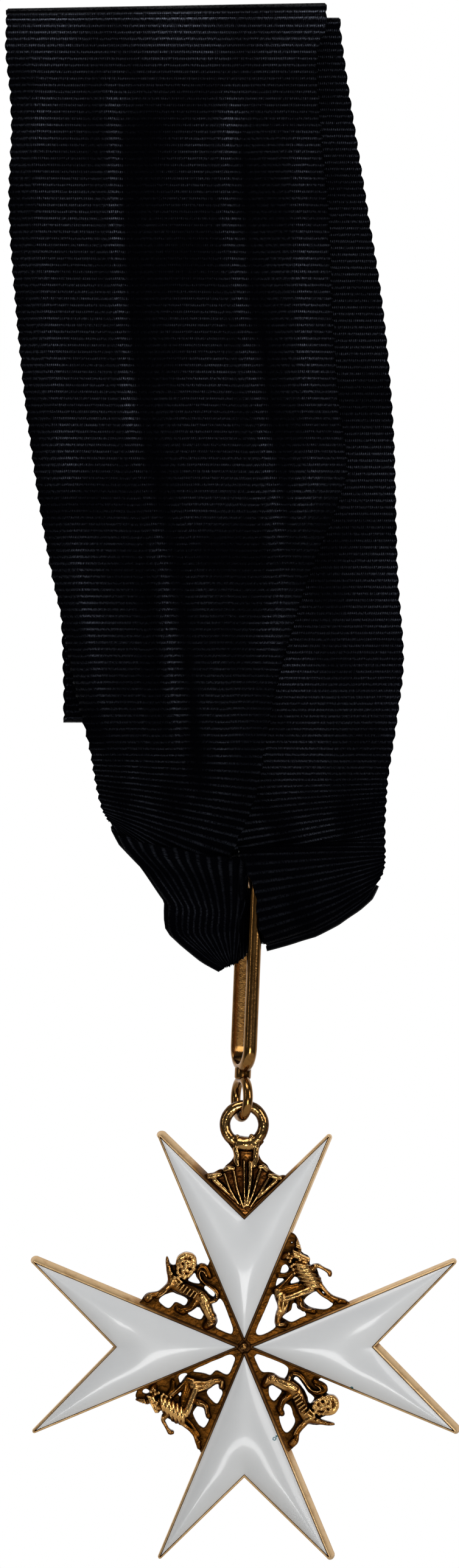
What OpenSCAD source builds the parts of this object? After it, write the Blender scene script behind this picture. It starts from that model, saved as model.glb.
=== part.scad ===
// Order insignia: a white-enamelled eight-pointed cross with lions and unicorns in its
// angles, hanging by a fixed ring from a long bail on a folded black neck ribbon.
// The origin is on the underside of the ribbon's inner top fold, at mid width.
// +X is to the viewer's right, -Y towards the viewer, +Z up. All sizes are millimetres.

/* [Cross] */
// Centre of the cross, to the right of the ribbon's middle
cross_x = 11.6; // [8:0.1:15]
// Centre of the cross, below the fold that the ribbon hangs by
cross_drop = 208.3; // [200:0.1:215]
// Back face of the cross, in front of the fold
cross_back = 0.55; // [0:0.05:2]
// Height of the enamel's outer points above the centre, along an arm
point_reach = 33; // [30:0.1:35]
// Distance of the enamel's outer points from the arm's middle line
point_spread = 13.25; // [11:0.05:14]
// Distance from the centre to the enamel's notch
notch_reach = 20.1; // [17:0.1:22]
// Distance from the centre to the enamel's inner point
inner_reach = 1.25; // [0.8:0.05:2]
// Width of the raised gilt rim
rim_w = 0.45; // [0.3:0.05:0.8]
// How far the foot of the rim stands out below it
skirt_w = 0.2; // [0:0.05:0.4]
// Height of the skirt
skirt_h = 0.7; // [0.3:0.1:1.2]
// Height of the rim above the flat back
rim_h = 1.9; // [1.4:0.1:2.6]
// Height of the tray floor under the enamel
floor_h = 1; // [0.6:0.1:1.3]
// Radius of the hub behind the four inner points
hub_r = 2.2; // [1.5:0.1:3]
// Radius of the small nugget at the centre
nugget_r = 0.75; // [0.5:0.05:1]

/* [Enamel] */
// Gap between the enamel and its tray
enamel_gap = 0.08; // [0.05:0.01:0.15]
// Height of the enamel's ridge above the flat back
ridge_h = 2.9; // [2.3:0.1:3.4]
// Distance from the centre to where the ridge forks to the two points
fork_reach = 14.5; // [10:0.5:17]

/* [Beasts] */
// Width of the bar that a beast stands on
stand_bar_w = 1.16; // [0.8:0.02:1.4]
// Width of the bar behind it
side_bar_w = 0.8; // [0.5:0.02:1.1]
// Length of the standing bar, from the cross's centre
stand_bar_l = 17.4; // [16:0.1:19]
// Length of the bar behind it, from the cross's centre
side_bar_l = 15.6; // [14:0.1:17]
// Height of both bars above the flat back
bar_h = 1.3; // [0.8:0.1:1.8]
// Sides of a limb's outline
limb_sides = 6; // [5:1:8]

/* [Shell and ring] */
// Distance from the cross's centre to the root of the shell's flutes
shell_root = 20.9; // [20:0.1:22]
// Height of the shell's flutes above the flat back
shell_h = 2.3; // [1.6:0.1:3]
// Thickness of the plate behind the flutes
shell_plate_h = 1.4; // [1:0.1:1.6]
// Width of the neck between shell and ring
neck_w = 4; // [3:0.1:5]
// Thickness of the neck
neck_h = 1.9; // [1.5:0.1:2]
// Distance from the cross's centre to the ring's centre
ring_reach = 34.9; // [34:0.1:36]
// Radius of the ring, to the middle of its wire
ring_r = 3.05; // [2.8:0.05:3.3]
// Thickness of the ring's wire
ring_wire = 1.6; // [1.4:0.05:1.8]
// Height of the ring's middle above the flat back
ring_lift = 0.9; // [0.85:0.05:1.6]

/* [Bail] */
// Room between the bail's two bars
bail_gap = 5.6; // [5:0.1:6]
// Width of the half-round wire
bail_wire_w = 2.07; // [1.8:0.01:2.3]
// Thickness of the half-round wire
bail_wire_t = 1.4; // [1.1:0.05:1.6]
// Length of the long loop, outside
bail_length = 31.8; // [31:0.1:33]
// Radius of the eye, to the middle of its wire
eye_r = 3; // [2.8:0.05:3.3]
// Thickness of the eye's wire
eye_wire = 1.3; // [1.2:0.05:1.5]
// Diameter of the collar between loop and eye
collar_d = 1.9; // [1.6:0.1:2.2]
// Length of the collar
collar_l = 1.7; // [1.5:0.1:2]
// Gap between the eye's wire and the ring's wire
link_gap = 0.35; // [0.25:0.05:0.45]
// Turn of the bail about the upright, which brings its rear bar into view
bail_turn = 19.5; // [10:0.5:22]
// Lean of the bail's top to the right
bail_lean = 2.3; // [0:0.1:3]
// Distance of the eye from the ring's middle, to the left
bail_shift = 0.5; // [0:0.05:0.5]

/* [Ribbon] */
// Thickness of the ribbed silk
ribbon_t = 1; // [1:0.05:1.2]
// Gap between two layers of ribbon
layer_gap = 0.4; // [0.3:0.05:0.6]
// Room for a peg inside the fold that the ribbon hangs by
peg_gap = 1.6; // [1.4:0.1:2]
// Rise of the outer top fold from its left end to its right end
top_rise = 0.9; // [0.3:0.1:1.2]
// How far the left fold's edge pulls in below its upper corner
pull_in = 1.1; // [0:0.1:1.4]
// How far its lower end swells out
swell_out = 1.6; // [0:0.1:2]
// Where the one turns into the other, as a share of the fold's length
swell_start = 0.58; // [0.5:0.01:0.7]
// Number of lengthwise waves across the ribbon
crease_waves = 2.63; // [2:0.01:3]
// Steps across the ribbon
ribbon_cols = 14; // [12:1:18]

/* [Hidden] */

gilt = [0.80, 0.60, 0.32];
white_enamel = [0.93, 0.93, 0.94];
black_silk = [0.08, 0.08, 0.11];

// A limb's joints are rows of these columns: across, up, radius, height above the flat back.
// They're drawn for the upper right angle, measured from the cross's centre.
AT_X = 0;
AT_Z = 1;
LIMB_R = 2;
LIMB_H = 3;

lion_limbs = [
    // body, from rump to shoulder
    [[6.6, 8.0, 1.45, 2.2], [9.0, 8.95, 1.3, 2.2], [11.0, 9.7, 1.3, 2.3]],
    // mane and head
    [[10.4, 10.5, 1.6, 2.4], [9.1, 12.2, 1.75, 2.5], [9.0, 13.3, 1.45, 2.5]],
    [[9.0, 12.9, 0.85, 3.0], [9.0, 12.1, 0.6, 3.1]],
    [[7.95, 14.2, 0.45, 2.3], [10.1, 14.3, 0.45, 2.3]],
    // raised foreleg
    [[11.4, 10.4, 0.85, 2.2], [12.25, 12.1, 0.55, 2.1], [12.2, 13.8, 0.52, 2.1]],
    // standing foreleg
    [[11.6, 9.4, 0.85, 2.2], [13.5, 8.75, 0.55, 2.0], [15.0, 8.25, 0.5, 2.0], [15.0, 7.3, 0.6, 2.0]],
    // near hind leg
    [[6.2, 7.4, 1.25, 2.3], [5.95, 6.0, 0.8, 2.1], [5.35, 5.0, 0.5, 1.9], [5.3, 3.7, 0.62, 1.9]],
    // far hind leg
    [[7.6, 7.3, 0.8, 1.9], [9.0, 6.25, 0.55, 1.8], [10.5, 6.3, 0.52, 1.8], [10.4, 5.3, 0.5, 1.7]],
    // tail, up over the back to its tuft
    [[5.2, 7.3, 0.4, 1.7], [4.3, 7.8, 0.36, 1.7], [4.45, 8.8, 0.36, 1.7], [5.5, 9.75, 0.36, 1.7],
     [6.8, 10.6, 0.36, 1.7], [7.4, 11.8, 0.4, 1.8], [7.0, 12.9, 0.4, 1.8], [6.2, 12.9, 0.42, 1.8],
     [5.3, 11.0, 0.6, 1.8]]
];

unicorn_limbs = [
    // body, from rump to chest
    [[6.2, 7.9, 1.35, 2.2], [9.0, 8.9, 1.2, 2.2], [11.0, 9.6, 1.3, 2.3]],
    // mane and neck
    [[10.3, 10.7, 1.7, 2.3], [9.0, 12.4, 1.7, 2.5], [8.4, 13.7, 1.2, 2.6]],
    // head and muzzle
    [[8.4, 14.2, 0.95, 2.9], [10.0, 13.7, 0.5, 2.8]],
    // horn
    [[8.3, 15.0, 0.34, 2.3], [8.3, 16.8, 0.16, 1.9]],
    // forelock and mane, back to the bar
    [[7.5, 13.6, 0.6, 2.1], [6.2, 14.3, 0.45, 1.7]],
    // raised foreleg
    [[10.8, 11.2, 0.75, 2.3], [11.5, 12.6, 0.5, 2.2], [12.75, 12.3, 0.42, 2.0], [13.5, 11.5, 0.5, 2.0]],
    // standing foreleg
    [[11.9, 9.7, 0.75, 2.2], [13.0, 8.25, 0.5, 2.0], [14.4, 7.35, 0.45, 1.9], [15.7, 7.3, 0.6, 1.9]],
    // near hind leg
    [[5.7, 7.2, 0.95, 2.3], [5.8, 5.9, 0.6, 2.1], [5.15, 4.8, 0.42, 1.9], [5.2, 3.7, 0.45, 1.9],
     [6.6, 3.7, 0.5, 1.8]],
    // far hind leg
    [[7.9, 7.4, 0.8, 1.9], [8.9, 6.1, 0.5, 1.8], [10.3, 5.95, 0.45, 1.8], [11.0, 5.4, 0.5, 1.7]],
    // tail, with its branch to the bar
    [[5.0, 8.7, 0.4, 1.7], [6.4, 10.1, 0.4, 1.7], [7.3, 10.8, 0.42, 1.8], [8.0, 11.7, 0.5, 1.9]],
    [[6.3, 10.1, 0.36, 1.7], [5.9, 11.3, 0.36, 1.7], [5.0, 11.9, 0.4, 1.6]]
];

// The shell's flutes: angle from the upright, length, and radius at the rim
FLUTE_ANGLE = 0;
FLUTE_L = 1;
FLUTE_R = 2;
flutes = [[0, 8.6, 0.85], [14, 8.0, 0.8], [29, 7.3, 0.75], [43, 7.2, 0.65]];

// Heights in the world of the link between cross and bail
ring_z = ring_reach - cross_drop;
pivot_z = ring_z + ring_r;
eye_bottom_z = pivot_z - ring_wire / 2 - link_gap - eye_wire / 2;
ring_y = -cross_back - ring_lift;

// Lays a drawing that was made on its back upright, facing the viewer, at the cross's centre.
module at_cross() {
    translate([cross_x, -cross_back, -cross_drop]) rotate([90, 0, 0]) children();
}

// The enamel of one arm in plan, pointing along +X.
module arm_plan() {
    polygon([
        [inner_reach, 0], [point_reach, -point_spread],
        [notch_reach, 0], [point_reach, point_spread]
    ]);
}

module arm_tray() {
    difference() {
        union() {
            linear_extrude(rim_h) offset(r = rim_w, $fn = 20) arm_plan();
            linear_extrude(skirt_h) offset(r = rim_w + skirt_w, $fn = 20) arm_plan();
        }
        translate([0, 0, floor_h]) linear_extrude(rim_h) arm_plan();
    }
}

// The two bars that edge an angle of the cross and carry its beast.
module angle_bars() {
    edge = atan2(point_spread, point_reach - inner_reach);
    in_rim = 0.3;
    rotate(edge) translate([1, 0, 0]) cube([stand_bar_l - 1, stand_bar_w + in_rim, bar_h]);
    rotate(90 - edge) translate([1, -side_bar_w - in_rim, 0])
        cube([side_bar_l - 1, side_bar_w + in_rim, bar_h]);
}

// One end of a limb: a straight foot under a narrower crown.
module limb_end(joint) {
    translate([joint[AT_X], joint[AT_Z], 0]) {
        cylinder(r = joint[LIMB_R], h = 0.62 * joint[LIMB_H], $fn = limb_sides);
        cylinder(r = 0.5 * joint[LIMB_R], h = joint[LIMB_H], $fn = limb_sides);
    }
}

module beast(limbs) {
    angle_bars();
    for (limb = limbs, i = [0 : len(limb) - 2])
        hull() {
            limb_end(limb[i]);
            limb_end(limb[i + 1]);
        }
}

module shell_mount() {
    translate([0, shell_root, 0]) {
        for (flute = flutes, side = [-1, 1])
            if (flute[FLUTE_ANGLE] > 0 || side > 0)
                hull() {
                    limb_end([0, 0.4, 0.5, shell_h - 0.6]);
                    rotate(side * flute[FLUTE_ANGLE])
                        limb_end([0, flute[FLUTE_L] - flute[FLUTE_R], flute[FLUTE_R], shell_h]);
                }
        // plate behind the flutes
        linear_extrude(shell_plate_h)
            polygon([[0, -0.3], [5.4, 5.2], [3.6, 6.4], [2, 7.9], [-2, 7.9], [-3.6, 6.4], [-5.4, 5.2]]);
    }
    // neck, with the ring on it
    neck_foot = shell_root + 7;
    translate([-neck_w / 2, neck_foot, 0.2]) cube([neck_w, ring_reach - ring_r - neck_foot, neck_h]);
    translate([0, ring_reach, ring_lift])
        rotate_extrude($fn = 16) translate([ring_r, 0]) circle(d = ring_wire, $fn = 8);
}

module cross() {
    color(gilt) at_cross() {
        for (arm = [0 : 3]) rotate(arm * 90) arm_tray();
        cylinder(r = hub_r, h = floor_h, $fn = 24);
        cylinder(r = nugget_r, h = ridge_h, $fn = 10);
        beast(unicorn_limbs);
        mirror([1, 0, 0]) beast(lion_limbs);
        rotate(-90) beast(lion_limbs);
        rotate(90) mirror([1, 0, 0]) beast(unicorn_limbs);
        shell_mount();
    }
}

// Half of an arm's enamel: a crowned wedge with its ridge from the inner point, by the fork,
// to the outer point.
module enamel_half() {
    foot = floor_h + enamel_gap;
    edge = rim_h - 0.1;
    crown = edge + 0.68 * (ridge_h - edge);
    levels = [
        [inner_reach, 0, foot], [point_reach, point_spread, foot], [notch_reach, 0, foot],
        [inner_reach, 0, edge], [point_reach, point_spread, edge], [notch_reach, 0, edge],
        [inner_reach + 3.2, 0, crown], [point_reach - 3.6, point_spread - 1.95, crown - 0.15],
        [point_reach - 5.4, point_spread - 3.6, crown - 0.15], [notch_reach - 1.3, 0, crown],
        [inner_reach + 6, 0, ridge_h - 0.1], [fork_reach, 0, ridge_h],
        [fork_reach + 0.6 * (point_reach - fork_reach), 0.55 * point_spread, ridge_h - 0.1]
    ];
    hull() polyhedron(levels, [[for (i = [0 : len(levels) - 1]) i]]);
}

// The enamel of one arm, shrunk clear of its tray on every side.
module enamel(turn) {
    middle = 0.6 * notch_reach;
    shrink = 1 - 2 * enamel_gap / point_spread;
    color(white_enamel) at_cross() rotate(turn)
        translate([middle, 0, 0]) scale([shrink, shrink, 1]) translate([-middle, 0, 0]) {
            enamel_half();
            mirror([0, 1, 0]) enamel_half();
        }
}

// Outline of the half-round wire, its flat side towards -X.
module half_round() {
    flat_x = bail_wire_w / 2 - bail_wire_t;
    intersection() {
        circle(d = bail_wire_w, $fn = 48);
        translate([flat_x, -bail_wire_w]) square(2 * bail_wire_w);
    }
}

module bail() {
    flat_x = bail_wire_w / 2 - bail_wire_t;
    bar_x = bail_gap / 2 - flat_x;
    outer_x = bar_x + bail_wire_w / 2;
    loop_foot = 2 * (eye_r + eye_wire / 2) - eye_wire / 2 + 0.3;
    bar_foot = loop_foot + outer_x;
    bar_top = loop_foot + bail_length - outer_x;
    color(gilt) translate([cross_x - bail_shift, ring_y, eye_bottom_z])
        rotate([0, bail_lean, 0]) rotate([0, 0, 90 + bail_turn]) rotate([90, 0, 0]) {
            // the two bars
            for (side = [0, 180])
                rotate([0, side, 0]) translate([bar_x, bar_foot, 0])
                    rotate([-90, 0, 0]) linear_extrude(bar_top - bar_foot) half_round();
            // round ends
            translate([0, bar_top, 0])
                rotate_extrude(angle = 180, $fn = 64) translate([bar_x, 0]) half_round();
            translate([0, bar_foot, 0])
                rotate([0, 0, 180]) rotate_extrude(angle = 180, $fn = 64) translate([bar_x, 0]) half_round();
            // collar
            translate([0, loop_foot - collar_l / 2, 0])
                rotate([-90, 0, 0]) cylinder(d = collar_d, h = collar_l, $fn = 32);
            // eye
            translate([0, eye_r, 0])
                rotate_extrude($fn = 64) translate([eye_r, 0]) circle(d = eye_wire, $fn = 32);
        }
}

// The ribbon is a band of rows. A row runs across it, from the selvedge that is on the left of
// the front layer to the other one. Its columns: both selvedges' places, both depths, and the
// height of the lengthwise waves.
XL = 0;
ZL = 1;
XR = 2;
ZR = 3;
YL = 4;
YR = 5;
WAVE = 6;

inner_y = (peg_gap + ribbon_t) / 2;
outer_y = inner_y + ribbon_t + layer_gap;
top_z = ribbon_t / 2 - inner_y;
// Selvedges, left and right, at the outer and the inner top fold
outer_top = [-25.9, 24.6];
inner_top = [-24.2, 26.8];

// From the bail to the left, in front of the front layer
turned_left = [
    [12.3, -136.2, 11.8, -146.8, -1.4, -1.5, 0.5],
    [10.9, -134.8, 10.9, -147.4, -2.6, -2.3, 0.45],
    [10.2, -132.9, 10.4, -147.8, -3.5, -3.0, 0.4],
    [8.2, -132.0, 10.0, -148.1, -3.8, -3.2, 0.4],
    [5.2, -131.1, 9.6, -148.3, -3.6, -3.2, 0.35],
    [1.0, -130.1, 9.2, -148.4, -3.4, -3.1, 0.25],
    [-3.6, -129.5, 9.0, -148.5, -3.2, -3.1, 0.15],
    [-7.4, -128.2, 8.7, -148.5, -3.1, -3.1, 0.1]
];
// The front layer, from its diagonal fold to the top
front = [
    [-9.5, -126.0, 8.1, -147.8, -1.4, -1.4, 0.05],
    [-9.9, -125.4, 8.2, -141.5, -1.4, -1.4, 0.1],
    [-10.4, -124.6, 8.8, -135.0, -1.4, -1.4, 0.15],
    [-10.9, -123.4, 10.2, -129.6, -1.6, -1.6, 0.25],
    [-11.5, -121.0, 12.2, -125.2, -2.3, -2.1, 0.35],
    [-12.0, -118.2, 13.8, -120.4, -3.1, -3.0, 0.5],
    [-12.7, -114.0, 14.9, -114.0, -3.8, -3.8, 0.65],
    [-14.9, -105.0, 16.6, -105.0, -3.8, -3.8, 0.7],
    [-16.8, -95.0, 19.3, -95.0, -3.8, -3.8, 0.7],
    [-18.9, -85.5, 22.4, -85.5, -3.8, -3.8, 0.7],
    [-20.5, -76.5, 26.1, -76.5, -3.8, -3.8, 0.65],
    [-21.4, -70.5, 27.8, -70.5, -3.8, -3.8, 0.6],
    [-22.8, -60.0, 26.5, -60.0, -3.7, -3.7, 0.6],
    [-24.3, -45.0, 25.5, -45.0, -3.5, -3.5, 0.5],
    [-25.4, -29.0, 24.8, -29.0, -3.3, -3.3, 0.4],
    [-25.0, -14.5, 23.5, -14.5, -3.0, -3.0, 0.25],
    [-26.0, -4.5, 23.2, -4.5, -2.8, -2.8, 0.1]
];
// The rear layer, from the top to its rounded end fold
rear = [
    [-25.6, -8.0, 24.6, -8.0, 2.8, 2.8, 0.05],
    [-24.6, -25.0, 25.4, -25.0, 2.9, 2.9, 0.1],
    [-22.4, -54.0, 27.6, -54.0, 3.0, 3.0, 0.1],
    [-19.8, -75.0, 30.2, -75.0, 3.0, 3.0, 0.1],
    [-17.6, -91.0, 32.6, -91.0, 2.9, 2.9, 0.05],
    [-17.0, -104.0, 33.4, -104.0, 2.7, 2.7, 0]
];
end_z = -109.1;
// Back up to the inner fold
inner_rear = [
    [-16.8, -104.0, 33.4, -104.0, 1.3, 1.3, 0],
    [-17.3, -91.0, 32.6, -91.0, 1.3, 1.3, 0.05],
    [-19.4, -75.0, 30.6, -75.0, 1.3, 1.3, 0.1],
    [-21.6, -54.0, 28.6, -54.0, 1.3, 1.3, 0.1],
    [-23.4, -25.0, 27.0, -25.0, 1.3, 1.3, 0.1],
    [-24.2, -8.0, 26.8, -8.0, 1.3, 1.3, 0.05]
];
// Down again behind the front layer, to the fold right of the bail
inner_front = [
    [-23.4, -9.0, 27.9, -9.0, -1.3, -1.3, 0.05],
    [-20.0, -28.8, 31.0, -28.8, -1.4, -1.4, 0.1],
    [-17.5, -45.0, 33.5, -45.0, -1.5, -1.5, 0.15],
    [-15.9, -63.5, 35.1, -63.5, -1.6, -1.6, 0.2],
    [-14.4, -86.5, 35.8, -86.5, -1.6, -1.6, 0.25],
    [-9.8, -100.4, 36.7, -100.4, -1.5, -1.6, 0.3],
    [-4.6, -109.6, 35.7, -109.6, -1.2, -1.8, 0.3],
    [0.8, -118.6, 34.3, -118.6, -0.4, -2.2, 0.35],
    [4.6, -125.2, 34.0, -122.4, 0.4, -2.8, 0.35],
    [8.0, -130.6, 33.8, -125.8, 0.5, -3.0, 0.3],
    [10.4, -132.9, 33.7, -128.0, 0.1, -3.0, 0.2],
    [13.0, -133.0, 33.7, -129.6, -1.2, -3.0, 0.1],
    [14.5, -134.4, 33.6, -131.2, -2.7, -3.1, 0.1],
    [15.1, -138.8, 33.4, -133.0, -3.1, -3.2, 0.2],
    [14.6, -144.9, 31.6, -135.9, -3.1, -3.2, 0.05]
];
// Behind that fold, back to the bail
turned_right = [
    [14.6, -144.8, 31.2, -135.7, -1.5, -1.5, 0],
    [13.7, -145.0, 26.0, -135.7, -1.3, -1.3, 0.1],
    [13.1, -145.5, 20.5, -135.9, -1.2, -1.2, 0.2],
    [12.5, -146.1, 15.6, -136.1, -1.3, -1.3, 0.35]
];

function wave(across) = cos(360 * crease_waves * (across - 0.5));

// A table row as points across the ribbon.
function across_row(row) = [
    for (j = [0 : ribbon_cols]) let (a = j / ribbon_cols) [
        (1 - a) * row[XL] + a * row[XR],
        (1 - a) * row[YL] + a * row[YR] - row[WAVE] * wave(a),
        (1 - a) * row[ZL] + a * row[ZR]
    ]
];

// Outwards from a fold's line, square to it.
function fold_out(row, j) = unit(cross([0, 1, 0], row[min(j + 1, ribbon_cols)] - row[max(j - 1, 0)]));

// Rows round a fold, from the last row of one panel to the first of the next by half a turn.
function fold_rows(from, to) = [
    for (turn = [45, 90, 135]) [
        for (j = [0 : ribbon_cols])
            (from[j] + to[j]) / 2 + (from[j] - to[j]) / 2 * cos(turn)
            + abs(from[j].y - to[j].y) / 2 * sin(turn) * fold_out(from, j)
    ]
];

// Rows over the top, starting at depth y_start on one side and ending at -y_start on the other.
function top_rows(selvedges, y_start, rise) = [
    for (turn = [0 : 30 : 180]) [
        for (j = [0 : ribbon_cols]) let (a = j / ribbon_cols) [
            selvedges[0] + a * (selvedges[1] - selvedges[0]),
            y_start * cos(turn),
            top_z + (abs(y_start) + rise * a) * sin(turn)
        ]
    ]
];

function panel(rows) = [for (row = rows) across_row(row)];

function end_row(row, y) = [
    for (j = [0 : ribbon_cols]) let (a = j / ribbon_cols)
        [row[XL] + a * (row[XR] - row[XL]), y, end_z]
];

function last(rows) = rows[len(rows) - 1];

// How far the left fold's edge stands out of a straight line, across the ribbon.
function bulge(a) =
    a < swell_start ? -pull_in * sin(180 * a / swell_start)
    : swell_out * sin(180 * (a - swell_start) / (1 - swell_start));

// Rows that follow that edge, each by its own share.
left_out = [-0.77, 0, -0.64];
function swell(rows, shares) = [
    for (i = [0 : len(rows) - 1]) [
        for (j = [0 : ribbon_cols]) rows[i][j] + left_out * shares[i] * bulge(j / ribbon_cols)
    ]
];

left_panel = swell(panel(turned_left), [0, 0, 0.05, 0.2, 0.45, 0.7, 0.9, 1]);
front_panel = swell(panel(front), [1, 0.5, 0.1, for (i = [3 : len(front) - 1]) 0]);
inner_front_panel = panel(inner_front);
right_panel = panel(turned_right);
rear_end = end_row(last(rear), outer_y);
inner_end = end_row(inner_rear[0], inner_y);

band = concat(
    left_panel,
    fold_rows(last(left_panel), front_panel[0]),
    front_panel,
    top_rows(outer_top, -outer_y, top_rise),
    panel(rear),
    [rear_end],
    fold_rows(rear_end, inner_end),
    [inner_end],
    panel(inner_rear),
    top_rows(inner_top, inner_y, 0),
    inner_front_panel,
    fold_rows(last(inner_front_panel), right_panel[0]),
    right_panel
);

band_rows = len(band);

// A point of the band. Past its last row it starts again with its sides changed over, because
// the two ends were sewn together lying flat, as the folds left them.
function band_point(i, j) =
    i >= band_rows ? band[i - band_rows][ribbon_cols - j]
    : i < 0 ? band[i + band_rows][ribbon_cols - j]
    : band[i][j];

function unit(v) = v / norm(v);

function face_normal(i, j) = unit(cross(
    band_point(i + 1, j) - band_point(i - 1, j),
    band_point(i, min(j + 1, ribbon_cols)) - band_point(i, max(j - 1, 0))
));

module ribbon() {
    cols = ribbon_cols + 1;
    // each row holds its points on one face, then those on the other
    skin = [
        for (i = [0 : band_rows - 1], face = [1, -1], j = [0 : ribbon_cols])
            band[i][j] + face * ribbon_t / 2 * face_normal(i, j)
    ];
    function corner(i, face, j) =
        i < band_rows ? (2 * i + face) * cols + j : (1 - face) * cols + ribbon_cols - j;
    faces = [
        for (i = [0 : band_rows - 1]) each concat(
            [for (j = [0 : ribbon_cols - 1]) each [
                [corner(i, 0, j), corner(i + 1, 0, j + 1), corner(i + 1, 0, j)],
                [corner(i, 0, j), corner(i, 0, j + 1), corner(i + 1, 0, j + 1)],
                [corner(i, 1, j), corner(i + 1, 1, j), corner(i + 1, 1, j + 1)],
                [corner(i, 1, j), corner(i + 1, 1, j + 1), corner(i, 1, j + 1)]
            ]],
            [
                [corner(i, 0, 0), corner(i + 1, 1, 0), corner(i, 1, 0)],
                [corner(i, 0, 0), corner(i + 1, 0, 0), corner(i + 1, 1, 0)],
                [corner(i, 1, ribbon_cols), corner(i + 1, 0, ribbon_cols), corner(i, 0, ribbon_cols)],
                [corner(i, 1, ribbon_cols), corner(i + 1, 1, ribbon_cols), corner(i + 1, 0, ribbon_cols)]
            ]
        )
    ];
    color(black_silk) polyhedron(skin, faces, convexity = 8);
}

cross();
enamel(90);  // enamel_top
enamel(0);  // enamel_right
enamel(-90);  // enamel_bottom
enamel(180);  // enamel_left
bail();
ribbon();
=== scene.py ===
# Order insignia: a white enamelled cross with gilt beasts, on its bail and black silk neck ribbon
import math
import bmesh
import bpy
from mathutils import Matrix, Vector, noise


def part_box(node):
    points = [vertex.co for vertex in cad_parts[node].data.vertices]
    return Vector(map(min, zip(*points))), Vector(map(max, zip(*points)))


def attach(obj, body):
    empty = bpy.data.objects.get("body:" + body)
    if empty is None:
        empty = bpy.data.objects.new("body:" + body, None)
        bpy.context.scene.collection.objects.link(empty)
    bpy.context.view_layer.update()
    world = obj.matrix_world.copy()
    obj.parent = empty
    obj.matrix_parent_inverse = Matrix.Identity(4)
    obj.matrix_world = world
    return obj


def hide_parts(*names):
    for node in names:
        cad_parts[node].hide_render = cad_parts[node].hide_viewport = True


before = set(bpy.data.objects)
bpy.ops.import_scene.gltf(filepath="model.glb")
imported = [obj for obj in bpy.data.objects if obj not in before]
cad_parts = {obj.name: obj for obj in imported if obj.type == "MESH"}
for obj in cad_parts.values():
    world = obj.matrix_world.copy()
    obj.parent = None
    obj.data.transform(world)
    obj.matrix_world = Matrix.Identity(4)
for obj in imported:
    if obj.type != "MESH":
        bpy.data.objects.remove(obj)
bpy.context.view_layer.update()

scene = bpy.context.scene
mm = 0.001
tiny = 0.001  # mm, closer than this is the same place

# the cross's middle, on the flat back of its casting
topBox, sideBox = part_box("enamel_top"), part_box("enamel_left")
centre = Vector((
    (topBox[0].x + topBox[1].x) / 2,
    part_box("cross")[1].y,
    (sideBox[0].z + sideBox[1].z) / 2,
))


# small helpers

def blend(a, b, share):
    return a + (b - a) * share


def curveRows(rows, steps):
    # smooth rows of numbers through the given ones
    made = []
    last = len(rows) - 1
    for i in range(last):
        p0, p1, p2, p3 = rows[max(i - 1, 0)], rows[i], rows[i + 1], rows[min(i + 2, last)]
        for k in range(steps):
            t = k / steps
            made.append([
                0.5 * (2 * b + (c - a) * t + (2 * a - 5 * b + 4 * c - d) * t * t
                       + (3 * b - a - 3 * c + d) * t * t * t)
                for a, b, c, d in zip(p0, p1, p2, p3)
            ])
    made.append(list(rows[-1]))
    return made


def shiftAll(bm, vec):
    bmesh.ops.translate(bm, verts=bm.verts[:], vec=vec)


def turnAll(bm, angle, axis):
    bmesh.ops.rotate(bm, verts=bm.verts[:], matrix=Matrix.Rotation(angle, 3, axis))


def vertsIn(made):
    return [g for g in made["geom"] if isinstance(g, bmesh.types.BMVert)]


def joinInto(bm, part):
    mesh = bpy.data.meshes.new("part")
    part.to_mesh(mesh)
    part.free()
    bm.from_mesh(mesh)
    bpy.data.meshes.remove(mesh)


def linkMesh(bm, name):
    mesh = bpy.data.meshes.new(name)
    bm.to_mesh(mesh)
    bm.free()
    obj = bpy.data.objects.new(name, mesh)
    scene.collection.objects.link(obj)
    return obj


def finishPiece(bm, name, body, material, replaced, crispOver=None):
    # the mesh is in its place in metres by now, and edges over this angle (degrees) stay crisp
    bmesh.ops.recalc_face_normals(bm, faces=bm.faces[:])
    for face in bm.faces:
        face.smooth = True
    obj = linkMesh(bm, name)
    obj.data.materials.append(material)
    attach(obj, body)
    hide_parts(replaced)
    if crispOver:
        obj.modifiers.new("crisp", "EDGE_SPLIT").split_angle = math.radians(crispOver)
    return obj


# camera, floor and light

view = dict(
    middle=(9.28, -2.2, -119.8),  # middle of the photo, mm
    tall=246.5,                   # height of the photo, mm
    away=1400,                    # distance of the camera, mm
    sensor=36,                    # mm
    seesFrom=50, seesTo=20000,    # mm
)


def makeCamera():
    data = bpy.data.cameras.new("camera")
    data.sensor_width = view["sensor"]
    data.lens = view["sensor"] * view["away"] / view["tall"]
    data.clip_start = view["seesFrom"] * mm
    data.clip_end = view["seesTo"] * mm
    obj = bpy.data.objects.new("camera", data)
    obj.location = Vector(view["middle"]) * mm + Vector((0, -view["away"] * mm, 0))
    obj.rotation_euler = (math.pi / 2, 0, 0)
    scene.collection.objects.link(obj)
    scene.camera = obj


def toLinear(hexColour):
    # sRGB hex to the linear values that the shader wants
    value = []
    for i in (0, 2, 4):
        c = int(hexColour[i:i + 2], 16) / 255
        value.append(c / 12.92 if c <= 0.04045 else ((c + 0.055) / 1.055) ** 2.4)
    return (*value, 1)


def addNode(tree, kind, inputs=None, **settings):
    # adds a node, sets it, and fills or links its inputs, a node by its first output
    made = tree.nodes.new("ShaderNode" + kind)
    for name, value in settings.items():
        setattr(made, name, value)
    for name, value in (inputs or {}).items():
        if isinstance(value, bpy.types.Node):
            value = value.outputs[0]
        if isinstance(value, bpy.types.NodeSocket):
            tree.links.new(value, made.inputs[name])
        else:
            made.inputs[name].default_value = value
    return made


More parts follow.
